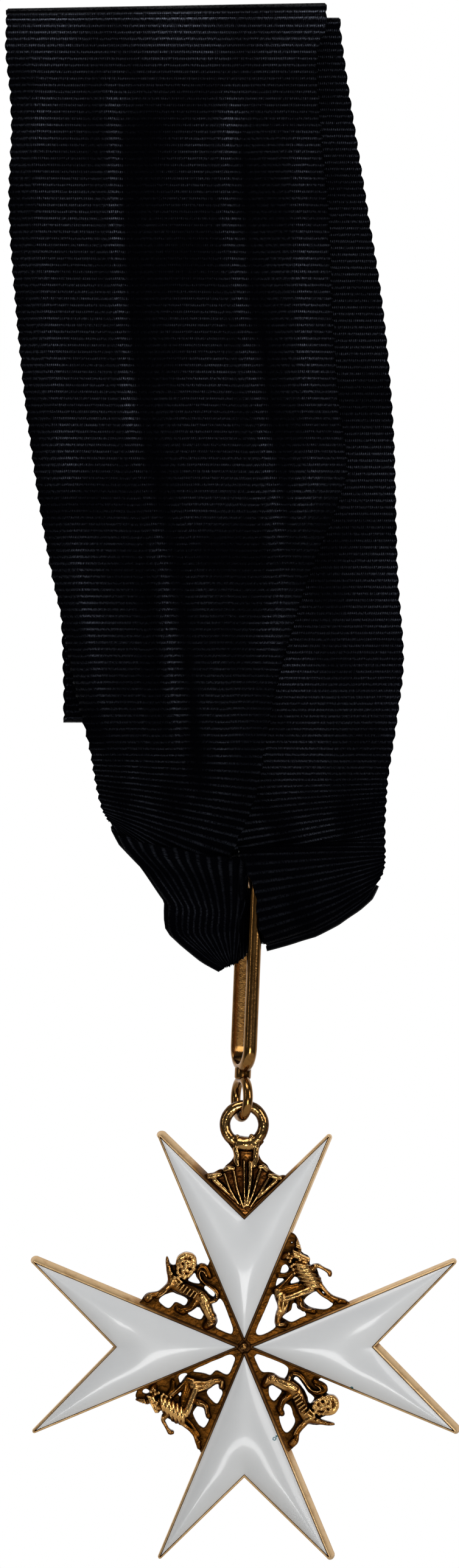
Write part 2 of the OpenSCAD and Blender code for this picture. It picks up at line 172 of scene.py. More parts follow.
lights = dict(
    # softboxes: aim point and place (mm), width, height (mm), brightness
    lowBox=((11.6, 0, -208), (30, -980, -480), 360, 320, 10.5),
    rightBox=((11.6, 0, -190), (560, -520, 60), 340, 420, 4.2),
    topBox=((6, 0, -120), (-140, -420, 560), 520, 300, 4.6),
    leftStrip=((0, 0, -90), (-620, -420, 40), 60, 420, 3),
)
studio = dict(
    dimUpTo=-0.1, whiteFrom=0.85,  # direction: -1 is the photographer's side, 1 is behind the piece
    dim=0.07, white=1.0,           # brightness
)
paper = dict(middle=(11.6, 0, -270), radius=220, sides=96, colour="EDEBE6", rough=0.9)  # floor, mm


def makeLights():
    world = bpy.data.worlds.new("studio")
    scene.world = world
    world.use_nodes = True
    tree = world.node_tree
    tree.nodes.clear()
    # white paper far behind the piece, a dim room on the photographer's side
    where = addNode(tree, "TexCoord")
    axes = addNode(tree, "SeparateXYZ", {"Vector": where.outputs["Generated"]})
    room = addNode(tree, "MapRange", {
        "Value": axes.outputs["Y"], "From Min": studio["dimUpTo"], "From Max": studio["whiteFrom"],
        "To Min": studio["dim"], "To Max": studio["white"],
    }, interpolation_type="SMOOTHSTEP")
    glow = addNode(tree, "Background", {"Color": (1, 1, 1, 1), "Strength": room})
    addNode(tree, "OutputWorld", {"Surface": glow})
    for name, (aim, place, wide, tall, bright) in lights.items():
        data = bpy.data.lights.new(name, "AREA")
        data.shape = "RECTANGLE"
        data.size = wide * mm
        data.size_y = tall * mm
        data.energy = bright * math.pi * data.size * data.size_y
        obj = bpy.data.objects.new(name, data)
        obj.location = Vector(place) * mm
        obj.rotation_mode = "QUATERNION"
        obj.rotation_quaternion = (Vector(place) - Vector(aim)).to_track_quat("Z", "Y")
        scene.collection.objects.link(obj)
    scene.view_settings.view_transform = "Standard"


def newMaterial(name):
    material = bpy.data.materials.new(name)
    material.use_nodes = True
    tree = material.node_tree
    tree.nodes.clear()
    return material, tree


def makeFloor():
    bm = bmesh.new()
    bmesh.ops.create_circle(bm, cap_ends=True, radius=paper["radius"] * mm, segments=paper["sides"])
    shiftAll(bm, Vector(paper["middle"]) * mm)
    floor = linkMesh(bm, "floor")
    material, tree = newMaterial("matte paper")
    shader = addNode(tree, "BsdfPrincipled", {
        "Base Color": toLinear(paper["colour"]), "Roughness": paper["rough"],
    })
    addNode(tree, "OutputMaterial", {"Surface": shader})
    floor.data.materials.append(material)


makeCamera()
makeLights()
makeFloor()
print("camera, lights and floor are made")


# gilt brass

gilding = dict(
    grainWide=0.5,                      # sand grain of the casting, mm
    patchWide=1.6, patchShare=0.5,      # worn patches, mm, and how much they count
    backFrom=0.3, backTo=0.15,          # nearer than this to the flat back's plane counts as the back, mm
    backRub=0.93,                       # 1 is rubbed as bright as a crest, 0 is a full hollow
    groundLevel=0.45, crestLevel=1.12,
    nearLevel=0.55,
    stops=(0.2, 0.55, 0.83, 1),         # places of the four colours on that scale
    dullUpTo=0.4, polishedFrom=0.95,
    grainBump=0.5,
)


def makeGilt(name, shadeReach, grainHigh, colours, rough, lowToHigh=None, darkerNear=()):
    # fire-gilt brass: rubbed bright on the crests, brown in the hollows with old lacquer and dirt, and
    # darkened there by painted shade from ambient occlusion
    material, tree = newMaterial(name)
    where = addNode(tree, "TexCoord").outputs["Object"]
    axes = addNode(tree, "SeparateXYZ", {"Vector": where})
    grain = addNode(tree, "TexNoise", {
        "Vector": where, "Scale": 1 / (gilding["grainWide"] * mm), "Detail": 3, "Roughness": 0.6,
    })
    patches = addNode(tree, "TexNoise", {
        "Vector": where, "Scale": 1 / (gilding["patchWide"] * mm), "Detail": 4, "Roughness": 0.6,
    })
    # painted shade: ambient occlusion over this reach darkens the colour in the hollows and between the
    # strokes
    hollowShade = addNode(tree, "AmbientOcclusion", {"Distance": shadeReach * mm}, samples=8, only_local=True)
    drift = addNode(tree, "Math", {0: patches, 1: 0.5}, operation="SUBTRACT")
    rubbedAndShaded = addNode(tree, "Math", {
        0: drift, 1: gilding["patchShare"], 2: hollowShade.outputs["AO"],
    }, operation="MULTIPLY_ADD")
    # the back lies on the cloth and stays evenly rubbed
    behind = addNode(tree, "MapRange", {
        "Value": axes.outputs["Y"],
        "From Min": centre.y - gilding["backFrom"] * mm, "From Max": centre.y - gilding["backTo"] * mm,
        "To Min": 0, "To Max": gilding["backRub"],
    })
    darkened = []
    if lowToHigh:
        # the cast work is darker on its low ground and lighter on its crests, by height
        low, high = lowToHigh
        darkened.append(addNode(tree, "MapRange", {
            "Value": axes.outputs["Y"], "From Min": centre.y - low * mm, "From Max": centre.y - high * mm,
            "To Min": gilding["groundLevel"], "To Max": gilding["crestLevel"],
        }))
    for up, near, far in darkerNear:
        # darker round this place on the front
        reach = addNode(tree, "VectorMath", {
            0: where, 1: centre + Vector((0, 0, up * mm)),
        }, operation="DISTANCE")
        darkened.append(addNode(tree, "MapRange", {
            "Value": reach.outputs["Value"], "From Min": near * mm, "From Max": far * mm,
            "To Min": gilding["nearLevel"], "To Max": 1,
        }))
    for limit in darkened:
        either = addNode(tree, "Math", {0: limit, 1: behind}, operation="MAXIMUM")
        rubbedAndShaded = addNode(tree, "Math", {0: rubbedAndShaded, 1: either}, operation="MULTIPLY")
    ramp = addNode(tree, "ValToRGB", {"Fac": rubbedAndShaded})
    stops = ramp.color_ramp.elements
    for i, k in ((0, 0), (1, 3)):
        stops[i].position = gilding["stops"][k]
        stops[i].color = toLinear(colours[k])
    for k in (1, 2):
        stops.new(gilding["stops"][k]).color = toLinear(colours[k])
    polish = addNode(tree, "MapRange", {
        "Value": rubbedAndShaded, "From Min": gilding["dullUpTo"], "From Max": gilding["polishedFrom"],
        "To Min": rough[0], "To Max": rough[1],
    })
    bump = addNode(tree, "Bump", {
        "Height": grain, "Strength": gilding["grainBump"], "Distance": grainHigh * mm,
    })
    shader = addNode(tree, "BsdfPrincipled", {
        "Base Color": ramp, "Metallic": 1, "Roughness": polish,
        "Normal": bump,
    })
    addNode(tree, "OutputMaterial", {"Surface": shader})
    return material


# lengths in mm, colours from the hollows to the crests, roughness when dull and when polished
castGilt = makeGilt("cast gilt brass", shadeReach=0.8, grainHigh=0.1, lowToHigh=(0.9, 2.85),
                    colours=("0C0501", "301B06", "744513", "E3B06B"), rough=(0.38, 0.22))
shellGilt = makeGilt("cast gilt brass, shell", shadeReach=0.8, grainHigh=0.03, lowToHigh=(0.75, 2.05),
                     colours=("090401", "2E1707", "68421B", "B98F57"), rough=(0.34, 0.14))
plateGilt = makeGilt("rubbed gilt plate", shadeReach=0.6, grainHigh=0.02,
                     darkerNear=((0, 11, 21), (26, 6.4, 9.5)),  # above the middle, darker within, full colour beyond
                     colours=("1E1006", "5E3E20", "B88A54", "E2BF8E"), rough=(0.55, 0.44))
wireGilt = makeGilt("gilt brass wire", shadeReach=0.5, grainHigh=0.03,
                    colours=("0A0502", "2A1606", "573614", "946B3A"), rough=(0.3, 0.16))


# enamel and silk

glaze = dict(
    tints=("DADCDE", "E4E5E6"),
    milkWide=6,                          # clouds in the white, mm
    peelWide=2.5, peelHigh=0.05,         # waves left by firing, mm
    peelBump=0.12,
    rough=0.32,
    skin=0.4, skinRough=0.09,
    ior=1.5,
)
verdigris = dict(
    colour="1F6873",
    raggedWide=0.35, raggedBy=0.2,       # mm
    # x, z, inner and outer radius of a ring or a speck, mm
    spots=((16.35, -222.7, 0.12, 0.32), (16.65, -222.3, 0, 0.16), (28.5, -214.75, 0, 0.26)),
)


def makeEnamel():
    # opaque white vitreous enamel: milky body under a hard glassy skin
    material, tree = newMaterial("white vitreous enamel")
    where = addNode(tree, "TexCoord").outputs["Object"]
    milk = addNode(tree, "TexNoise", {"Vector": where, "Scale": 1 / (glaze["milkWide"] * mm), "Detail": 3})
    tint = addNode(tree, "Mix", {
        0: milk, 6: toLinear(glaze["tints"][0]), 7: toLinear(glaze["tints"][1]),
    }, data_type="RGBA")
    peel = addNode(tree, "TexNoise", {"Vector": where, "Scale": 1 / (glaze["peelWide"] * mm), "Detail": 2})
    bump = addNode(tree, "Bump", {
        "Height": peel, "Strength": glaze["peelBump"], "Distance": glaze["peelHigh"] * mm,
    })
    # verdigris from the metal's edge: a curl on the lower arm and a speck on the right one
    colour = tint.outputs[2]
    ragged = addNode(tree, "TexNoise", {
        "Vector": where, "Scale": 1 / (verdigris["raggedWide"] * mm), "Detail": 3,
    })
    flat = addNode(tree, "VectorMath", {0: where, 1: (1, 0, 1)}, operation="MULTIPLY")
    for x, z, inner, outer in verdigris["spots"]:
        reach = addNode(tree, "VectorMath", {0: flat, 1: (x * mm, 0, z * mm)}, operation="DISTANCE")
        wander = addNode(tree, "Math", {
            0: ragged, 1: verdigris["raggedBy"] * mm, 2: reach.outputs["Value"],
        }, operation="MULTIPLY_ADD")
        ring = addNode(tree, "Math", {
            0: wander, 1: ((inner + outer + verdigris["raggedBy"]) / 2) * mm,
            2: (outer - inner) / 2 * mm,
        }, operation="COMPARE")
        stain = addNode(tree, "Mix", {
            0: ring, 6: colour, 7: toLinear(verdigris["colour"]),
        }, data_type="RGBA")
        colour = stain.outputs[2]
    shader = addNode(tree, "BsdfPrincipled", {
        "Base Color": colour, "Roughness": glaze["rough"], "IOR": glaze["ior"],
        "Coat Weight": glaze["skin"], "Coat Roughness": glaze["skinRough"], "Normal": bump,
    })
    addNode(tree, "OutputMaterial", {"Surface": shader})
    return material


weave = dict(
    cordPitch=1.05,                      # mm
    threadPitch=0.3, threadHigh=0.03,    # mm, coarser than real threads so that they show
    threadBump=0.6,
    fuzz=2.6, patches=0.09,              # scales of the noise, per mm
    tints=("010102", "040407"),
    sheen="CBD4EE",
    rough=0.3,
    # gleam by patch, by height on a cord (a painted sheen line on each cord's top) and by thread: noise or
    # height from, to, and gleam from, to
    patchGleam=(0.35, 0.65, 0.3, 1.2),
    cordGleam=(0.2, 0.95, 0.04, 1),
    threadGleam=(0.38, 0.62, 0.2, 1.7),
)


def makeSilk():
    # black corded silk: near black, with a broken silvery line painted as sheen on the top of each cord
    material, tree = newMaterial("black corded silk")
    ruler = addNode(tree, "UVMap", uv_map="clothMm")
    axes = addNode(tree, "SeparateXYZ", {"Vector": ruler})
    thread = addNode(tree, "Math", {0: axes.outputs["X"], 1: 2 * math.pi / weave["threadPitch"]},
                     operation="MULTIPLY")
    wave = addNode(tree, "Math", {0: thread}, operation="SINE")
    fuzz = addNode(tree, "TexNoise", {"Vector": ruler, "Scale": weave["fuzz"], "Detail": 3})
    height = addNode(tree, "Math", {0: wave, 1: fuzz}, operation="ADD")
    bump = addNode(tree, "Bump", {
        "Height": height, "Strength": weave["threadBump"], "Distance": weave["threadHigh"] * mm,
    })
    # painted sheen on the cords: brighter towards the top, on the top fold and on the creases' crowns,
    # darker in painted shadows between the creases
    paintedGleam = addNode(tree, "Attribute", attribute_name="paintedGleam")
    patch = addNode(tree, "TexNoise", {"Vector": ruler, "Scale": weave["patches"], "Detail": 3})
    cord = addNode(tree, "Math", {0: axes.outputs["Y"], 1: 2 * math.pi / weave["cordPitch"]},
                   operation="MULTIPLY")
    crest = addNode(tree, "Math", {0: cord}, operation="COSINE")
    gleam = paintedGleam.outputs["Fac"]
    for value, key in ((patch, "patchGleam"), (crest, "cordGleam"), (fuzz, "threadGleam")):
        low, high, least, most = weave[key]
        factor = addNode(tree, "MapRange", {
            "Value": value, "From Min": low, "From Max": high, "To Min": least, "To Max": most,
        })
        gleam = addNode(tree, "Math", {0: gleam, 1: factor}, operation="MULTIPLY")
    tint = addNode(tree, "Mix", {
        0: fuzz, 6: toLinear(weave["tints"][0]), 7: toLinear(weave["tints"][1]),
    }, data_type="RGBA")
    shader = addNode(tree, "BsdfPrincipled", {
        "Base Color": tint.outputs[2], "Roughness": weave["rough"], "Specular IOR Level": gleam,
        "Specular Tint": toLinear(weave["sheen"]), "Normal": bump,
    })
    addNode(tree, "OutputMaterial", {"Surface": shader})
    return material


enamelGlass = makeEnamel()
silk = makeSilk()
print("materials are made")


# neck ribbon

ribbon = dict(
    wide=51,
    thick=0.8,                # over a cord, mm
    thin=0.36,                # share of that between two cords
    rowsPerCord=3,
    columns=30,
    selvedge=0.014,           # width of the outermost columns, as a share
    scallopPitch=2.1, scallopDepth=0.4, scallopRound=0.6,
    creaseWaves=2.63,         # lengthwise waves across the ribbon
    waveSharp=0.16,           # 0 for even waves, more for sharper hollows
    pegGap=1.6,               # room in the inner top fold, mm
    layer=1.0, layerGap=0.4,  # room that one layer takes, and between two, mm
    topRise=0.9,
    foldSteps=8, topSteps=10,
    outerTop=(-25.9, 24.6),   # selvedges at the two top folds, mm
    innerTop=(-24.2, 26.8),
    endZ=-109.1,              # the ribbon's end, behind
    front=-2,                 # the front layer lies before this, mm
    creasedDownTo=-128,
    creaseIn=7, creaseOut=9,  # lengths over which a crease comes and goes, mm
    creaseEase=0.8,
    # lower folds: direction in which the cloth swells, and how far at shares of the width, mm
    leftOut=(-0.77, 0, -0.64),
    leftSwell=[(0, -0.5), (0.08, -0.1), (0.26, -0.5), (0.52, 0), (0.59, 1.7), (0.65, 2.7), (0.75, 2.3),
               (0.9, 1.4), (1, 0.3)],
    rightOut=(0.45, 0, -0.89),
    rightSwell=[(0, 0), (0.2, 0.8), (0.4, 1.5), (0.6, 1.5), (0.8, 1), (0.92, 0.4), (1, -0.8)],
    # share of that swelling in the rows up to a fold and after it
    leftBefore=[0, 0, 0, 0, 0.05, 0.1, 0.2, 0.45, 0.7, 0.9, 1], leftAfter=[1, 0.5, 0.1],
    rightBefore=[0.1, 0.25, 0.45, 0.65, 0.85, 1], rightAfter=[1, 0.8, 0.4, 0.1, 0],
)
# creases pressed into the front layer: half width, height forward, then places (x, z) down the ribbon, mm
creases = [
    (1.5, 1.1, [(-10.4, -5), (-10.1, -9), (-8.6, -43), (-6.6, -66), (-1.8, -85.5), (0.6, -107.7),
     (2.4, -126)]),
    (1.4, 0.95, [(8.3, -8), (8.6, -22), (9, -33.6), (12.6, -58.3), (15.6, -75.6), (16.6, -88),
     (15.2, -102)]),
    (2.6, 0.8, [(-21.5, -5), (-21.8, -30), (-19, -62), (-14.2, -92), (-9.2, -114), (-6.4, -124)]),
    (2.2, 0.7, [(19.5, -16), (19.8, -46), (21.5, -70), (19.2, -88), (14.2, -108)]),
    (2, 0.5, [(-1.5, -70), (2.6, -80), (6.4, -92), (8.4, -104), (8.8, -118)]),
    (1.2, -0.9, [(-7.6, -12), (-6.2, -43), (-3.9, -66), (0.9, -85.5), (3.2, -107), (4.6, -124)]),
    (1.2, -0.8, [(10.9, -14), (11.6, -33.6), (15.1, -58.3), (18.2, -75.6), (18.9, -88)]),
]
# painted shadows: broad patches between the creases where the gleam is taken away, middle (x, z), half
# width, half height, mm
shadowPatches = [
    (2.4, -36, 7.5, 10), (-14.5, -76, 7.5, 4.5), (6, -84, 7, 6), (22.5, -102, 6, 6), (-3.5, -20, 4, 7),
    (-12, -112, 5, 5),
]
# painted sheen and shade: how much the cords gleam
paintedShine = dict(
    behind=0.25,              # on the hidden layers
    base=0.13,
    up=0.14, upOver=135,      # painted light: more towards the top, over this length, mm
    # painted highlight on the creases' crowns, and the share of it at the lower end
    crease=0.5, lowCrease=0.45,
    fold=0.8, foldReach=9,    # painted sheen on the top fold, mm
    shadowShare=0.85,                 # share of the gleam that a painted shadow takes away
    least=0.02,
)
# rows across the band: left x, left z, right x, right z, left y, right y, height of the waves, mm
turnedLeft = [
    (12.3, -136.2, 11.8, -146.8, -1.4, -1.5, 0.5),
    (11, -136, 10.9, -147.4, -3, -2.3, 0.4),
    (11, -134.9, 10.5, -147.8, -4.4, -3, 0.35),
    (12.2, -133.7, 10.2, -148, -5, -3.2, 0.3),
    (12, -131.6, 10, -148.1, -4.9, -3.3, 0.3),
    (10.4, -131.2, 9.8, -148.2, -4.4, -3.3, 0.3),
    (8.2, -131.3, 9.7, -148.25, -3.9, -3.2, 0.35),
    (5.2, -131.1, 9.6, -148.3, -3.6, -3.2, 0.35),
    (1, -130.1, 9.2, -148.4, -3.4, -3.1, 0.25),
    (-3.6, -129.5, 9, -148.5, -3.2, -3.1, 0.15),
    (-7.4, -128.2, 8.7, -148.5, -3.1, -3.1, 0.1),
]
frontLayer = [
    (-9.5, -126, 8.1, -147.8, -1.4, -1.4, 0.05),
    (-9.9, -125.4, 8.2, -141.5, -1.4, -1.4, 0.1),
    (-10.4, -124.6, 8.8, -135, -1.4, -1.4, 0.15),
    (-10.9, -123.4, 10.2, -129.6, -1.6, -1.6, 0.25),
    (-11.5, -121, 12.2, -125.2, -2.3, -2.1, 0.35),
    (-12, -118.2, 13.8, -120.4, -3.1, -3, 0.5),
    (-12.7, -114, 14.9, -114, -3.8, -3.8, 0.65),
    (-14.9, -105, 16.6, -105, -3.8, -3.8, 0.7),
    (-16.8, -95, 19.3, -95, -3.8, -3.8, 0.7),
    (-18.9, -85.5, 22.4, -85.5, -3.8, -3.8, 0.7),
    (-20.5, -76.5, 26.1, -76.5, -3.8, -3.8, 0.65),
    (-21.4, -70.5, 27.8, -70.5, -3.8, -3.8, 0.6),
    (-22.8, -60, 26.5, -60, -3.7, -3.7, 0.6),
    (-24.3, -45, 25.5, -45, -3.5, -3.5, 0.5),
    (-25.4, -29, 24.8, -29, -3.3, -3.3, 0.4),
    (-25, -14.5, 23.5, -14.5, -3, -3, 0.25),
    (-26, -4.5, 23.2, -4.5, -2.8, -2.8, 0.1),
]
rearLayer = [
    (-25.6, -8, 24.6, -8, 2.8, 2.8, 0.05),
    (-24.6, -25, 25.4, -25, 2.9, 2.9, 0.1),
    (-22.4, -54, 27.6, -54, 3, 3, 0.1),
    (-19.8, -75, 30.2, -75, 3, 3, 0.1),
    (-17.6, -91, 32.6, -91, 2.9, 2.9, 0.05),
    (-17, -104, 33.4, -104, 2.7, 2.7, 0),
]
innerRear = [
    (-16.8, -104, 33.4, -104, 1.3, 1.3, 0),
    (-17.3, -91, 32.6, -91, 1.3, 1.3, 0.05),
    (-19.4, -75, 30.6, -75, 1.3, 1.3, 0.1),
    (-21.6, -54, 28.6, -54, 1.3, 1.3, 0.1),
    (-23.4, -25, 27, -25, 1.3, 1.3, 0.1),
    (-24.2, -8, 26.8, -8, 1.3, 1.3, 0.05),
]
innerFront = [
    (-23.4, -9, 27.9, -9, -1.3, -1.3, 0.05),
    (-20, -28.8, 31, -28.8, -1.4, -1.4, 0.1),
    (-17.5, -45, 33.5, -45, -1.5, -1.5, 0.15),
    (-15.9, -63.5, 35.1, -63.5, -1.6, -1.6, 0.2),
    (-14.4, -86.5, 35.8, -86.5, -1.6, -1.6, 0.25),
    (-9.8, -100.4, 36.7, -100.4, -1.5, -1.6, 0.3),
    (-4.6, -109.6, 35.7, -109.6, -1.2, -1.8, 0.3),
    (0.8, -118.6, 34.3, -118.6, -0.4, -2.2, 0.35),
    (4.6, -125.2, 34, -122.4, 0.4, -2.8, 0.35),
    (8, -130.6, 33.8, -125.8, 0.5, -3, 0.3),
    (10.2, -131.8, 33.8, -127.6, 0, -3, 0.2),
    (10.6, -130.3, 33.8, -128.6, -2.2, -3, 0.15),
    (10.7, -130.2, 33.8, -129.6, -4.6, -3.1, 0.1),
    (11, -131.3, 33.8, -130.5, -6.1, -3.2, 0.1),
    (12.1, -134, 33.8, -131.4, -6.5, -3.3, 0.1),
    (13.2, -137, 33.8, -132.4, -6.4, -3.3, 0.15),
    (13.5, -140.2, 33.7, -133.4, -6.3, -3.4, 0.2),
    (13.9, -142.6, 33.4, -134.3, -5.9, -3.4, 0.15),
    (14.9, -144.5, 32.8, -135.3, -4.4, -3.4, 0.1),
    (14.9, -145, 32.2, -136.1, -3.1, -3.2, 0.05),
]
turnedRight = [
    (14.8, -144.9, 31.8, -136, -1.5, -1.5, 0),
    (13.7, -145, 26, -135.7, -1.3, -1.3, 0.1),
    (13.1, -145.5, 20.5, -135.9, -1.2, -1.2, 0.2),
    (12.5, -146.1, 15.6, -136.1, -1, -1, 0.3),
    (11.6, -146.4, 12.5, -136.1, -0.5, -0.5, 0.1),
]


def clothShares():
    # columns across the ribbon, with a narrow one along each selvedge
    edge = ribbon["selvedge"]
    inner = ribbon["columns"] - 2
    return [0] + [edge + (1 - 2 * edge) * i / inner for i in range(inner + 1)] + [1]


shares = clothShares()


def creaseWave(a):
    # round crests with sharper creases between them
    turn = 2 * math.pi * ribbon["creaseWaves"] * (a - 0.5)
    return math.cos(turn) - ribbon["waveSharp"] * math.cos(2 * turn)


def rowPoints(row):
    leftX, leftZ, rightX, rightZ, leftY, rightY, wave = row
    left, right = Vector((leftX, leftY, leftZ)), Vector((rightX, rightY, rightZ))
    return [left.lerp(right, a) - Vector((0, wave * creaseWave(a), 0)) for a in shares]


def foldRows(start, end):
    # half a turn round a fold, from one layer to the next
    made = []
    last = len(shares) - 1
    for step in range(1, ribbon["foldSteps"]):
        turn = math.pi * step / ribbon["foldSteps"]
        row = []
        for j in range(last + 1):
            along = start[min(j + 1, last)] - start[max(j - 1, 0)]
            out = Vector((0, 1, 0)).cross(along).normalized()
            swing = abs(start[j].y - end[j].y) / 2 * math.sin(turn)
            row.append((start[j] + end[j]) / 2 + (start[j] - end[j]) / 2 * math.cos(turn) + swing * out)
        made.append(row)
    return made


def topRows(selvedges, startY, rise):
    # half a turn over the peg
    topZ = -ribbon["pegGap"] / 2
    made = []
    for step in range(ribbon["topSteps"] + 1):
        turn = math.pi * step / ribbon["topSteps"]
        made.append([
            Vector((
                blend(*selvedges, a), startY * math.cos(turn),
                topZ + (abs(startY) + rise * a) * math.sin(turn),
            ))
            for a in shares
        ])
    return made


def endRow(row, y):
    return [Vector((blend(row[0], row[2], a), y, ribbon["endZ"])) for a in shares]


def profileAt(points, a):
    for (a0, high0), (a1, high1) in zip(points, points[1:]):
        if a <= a1:
            return blend(high0, high1, (a - a0) / (a1 - a0))
    return points[-1][1]


def swell(rows, side, when):
    # moves the cloth near a lower fold out, by its profile across the ribbon
    out = Vector(ribbon[side + "Out"])
    for row, amount in zip(rows, ribbon[side + when]):
        for j, a in enumerate(shares):
            row[j] = row[j] + out * amount * profileAt(ribbon[side + "Swell"], a)


def bandRows():
    # the whole band, from the hidden join round to it again
    innerY = (ribbon["pegGap"] + ribbon["layer"]) / 2
    outerY = innerY + ribbon["layer"] + ribbon["layerGap"]
    left, front, rear, back, inner, right = [
        [rowPoints(row) for row in rows]
        for rows in (turnedLeft, frontLayer, rearLayer, innerRear, innerFront, turnedRight)
    ]
    swell(left, "left", "Before")
    swell(front, "left", "After")
    swell(inner[-len(ribbon["rightBefore"]):], "right", "Before")
    swell(right, "right", "After")
    rearEnd = endRow(rearLayer[-1], outerY)
    backEnd = endRow(innerRear[0], innerY)
    return (
        left + foldRows(left[-1], front[0]) + front
        + topRows(ribbon["outerTop"], -outerY, ribbon["topRise"])
        + rear + [rearEnd] + foldRows(rearEnd, backEnd) + [backEnd] + back
        + topRows(ribbon["innerTop"], innerY, 0)
        + inner + foldRows(inner[-1], right[0]) + right
    )


def creaseAt(x, z):
    push = 0
    for half, high, line in creases:
        for (x0, z0), (x1, z1) in zip(line, line[1:]):
            if z1 <= z < z0:
                off = (x - blend(x0, x1, (z - z0) / (z1 - z0))) / half
                fade = min(1, (line[0][1] - z) / ribbon["creaseIn"], (z - line[-1][1]) / ribbon["creaseOut"])
                push += high * fade * math.exp(-off * off)
    return push


def paintedGleamAt(point):
    # painted sheen and shade: near 0 in the hollows and the painted shadows, up to 1 on the creases' crowns,
    # less towards the lower end
    if point.y > ribbon["front"]:
        return paintedShine["behind"]
    up = max(0, min(1, 1 + point.z / paintedShine["upOver"]))
    fold = max(0, 1 + point.z / paintedShine["foldReach"])
    crown = creaseAt(point.x, point.z) * blend(paintedShine["lowCrease"], 1, up)
    bright = paintedShine["base"] + paintedShine["up"] * up + paintedShine["crease"] * crown + paintedShine["fold"] * fold
    for x, z, wide, tall in shadowPatches:
        bright *= 1 - paintedShine["shadowShare"] * math.exp(-((point.x - x) / wide) ** 2 - ((point.z - z) / tall) ** 2)
    return max(paintedShine["least"], min(1, bright))


def evenRows(rows, spacing):
    # rows at an even distance along the cloth, on a smooth curve through the given ones
    far = [0]
    for a, b in zip(rows, rows[1:]):
        far.append(far[-1] + sum((q - p).length for p, q in zip(a, b)) / len(a))
    count = round(far[-1] / spacing)
    made = []
    k = 0
    last = len(rows) - 1
    for n in range(count + 1):
        s = far[-1] * n / count
        while k < last - 1 and far[k + 1] < s:
            k += 1
        before, after = max(k - 1, 0), min(k + 2, last)
        t0, t1, t2, t3 = far[before], far[k], far[k + 1], far[after]
        t = (s - t1) / (t2 - t1)
        h1, h2 = 2 * t ** 3 - 3 * t ** 2 + 1, 3 * t ** 2 - 2 * t ** 3
        g1, g2 = (t ** 3 - 2 * t ** 2 + t) * (t2 - t1), (t ** 3 - t ** 2) * (t2 - t1)
        made.append([
            p1 * h1 + p2 * h2 + (p2 - p0) / (t2 - t0) * g1 + (p3 - p1) / (t3 - t1) * g2
            for p0, p1, p2, p3 in zip(rows[before], rows[k], rows[k + 1], rows[after])
        ])
    return made, far[-1]


def makeRibbon():
    step = weave["cordPitch"] / ribbon["rowsPerCord"]
    rows, length = evenRows(bandRows(), step)
    spacing = length / (len(rows) - 1)
    # creases, then the scalloped selvedges
    for i, row in enumerate(rows):
        for point in row:
            before = ribbon["front"] - point.y
            if before > 0 and point.z > ribbon["creasedDownTo"]:
                point.y -= creaseAt(point.x, point.z) * min(1, before / ribbon["creaseEase"])
        lobe = abs(math.sin(math.pi * i * spacing / ribbon["scallopPitch"])) ** ribbon["scallopRound"]
        for edge, inner in ((0, 1), (-1, -2)):
            out = (row[edge] - row[inner]).normalized()
            row[edge] = row[edge] + out * ribbon["scallopDepth"] * (lobe - 1)
    columns = len(shares) - 1
    bm = bmesh.new()
    bmesh.ops.create_grid(bm, x_segments=columns, y_segments=len(rows) - 1, size=1)
    ruler = bm.loops.layers.uv.new("clothMm")
    cord = bm.verts.layers.deform.verify()
    paintedGleam = bm.verts.layers.float.new("paintedGleam")
    bm.verts.ensure_lookup_table()
    place = {}
    for i, row in enumerate(rows):
        for j, point in enumerate(row):
            vert = bm.verts[i * (columns + 1) + j]
            vert.co = point * mm
            vert[cord][0] = 0.5 + 0.5 * math.cos(2 * math.pi * i / ribbon["rowsPerCord"])
            vert[paintedGleam] = paintedGleamAt(point)
            place[vert.index] = (shares[j] * ribbon["wide"], i * step)
    for face in bm.faces:
        face.smooth = True
        for loop in face.loops:
            loop[ruler].uv = place[loop.vert.index]
    obj = linkMesh(bm, "ribbon_silk")
    obj.vertex_groups.new(name="cord")
    obj.data.materials.append(silk)
    wall = obj.modifiers.new("wall", "SOLIDIFY")
    wall.thickness = ribbon["thick"] * mm
    wall.offset = 0
    wall.vertex_group = "cord"
    wall.thickness_vertex_group = ribbon["thin"]
    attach(obj, "hanger")
    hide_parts("ribbon")
    print("ribbon is made, length", round(length, 1), "mm, rows", len(rows))


# cross: trays and enamel

arm = dict(
    inner=(1.25, 0), tip=(33, 13.25), notch=(20.1, 0),  # enamel outline of half an arm, mm
    lean=(0.55, 0.6),   # the walls' feet stand out towards this side, mm
    # the wall from its foot over the rim to the tray's floor: outside the enamel's outline (mm),
    # share of the lean, height (mm)
    wall=[
        (0.26, 0.96, 0), (0.33, 1, 0.07), (0.34, 0.98, 0.2), (0.3, 0.12, 1.73), (0.27, 0.06, 1.82),
        (0.165, 0.02, 1.92), (0.105, 0, 1.95), (0.06, 0, 1.93), (0.02, 0, 1.85), (0.01, 0, 1),
    ],
    arcSteps=8,
    crispOver=50,
)
hub = dict(back=2.3, front=2.1, deep=0.9, middle=0.55, sides=48)  # behind the inner points, mm


def atCross(turn=0, flip=False):
    # from a drawing on its back, in mm, to its place in the frame
    place = Matrix.Translation(centre) @ Matrix.Rotation(math.pi / 2, 4, "X")
    place = place @ Matrix.Rotation(math.radians(turn), 4, "Z")
    if flip:
        place = place @ Matrix.Scale(-1, 4, (1, 0, 0))
    return place @ Matrix.Scale(mm, 4)


def toCross(bm, turn=0, flip=False):
    bmesh.ops.transform(bm, matrix=atCross(turn, flip), verts=bm.verts[:])


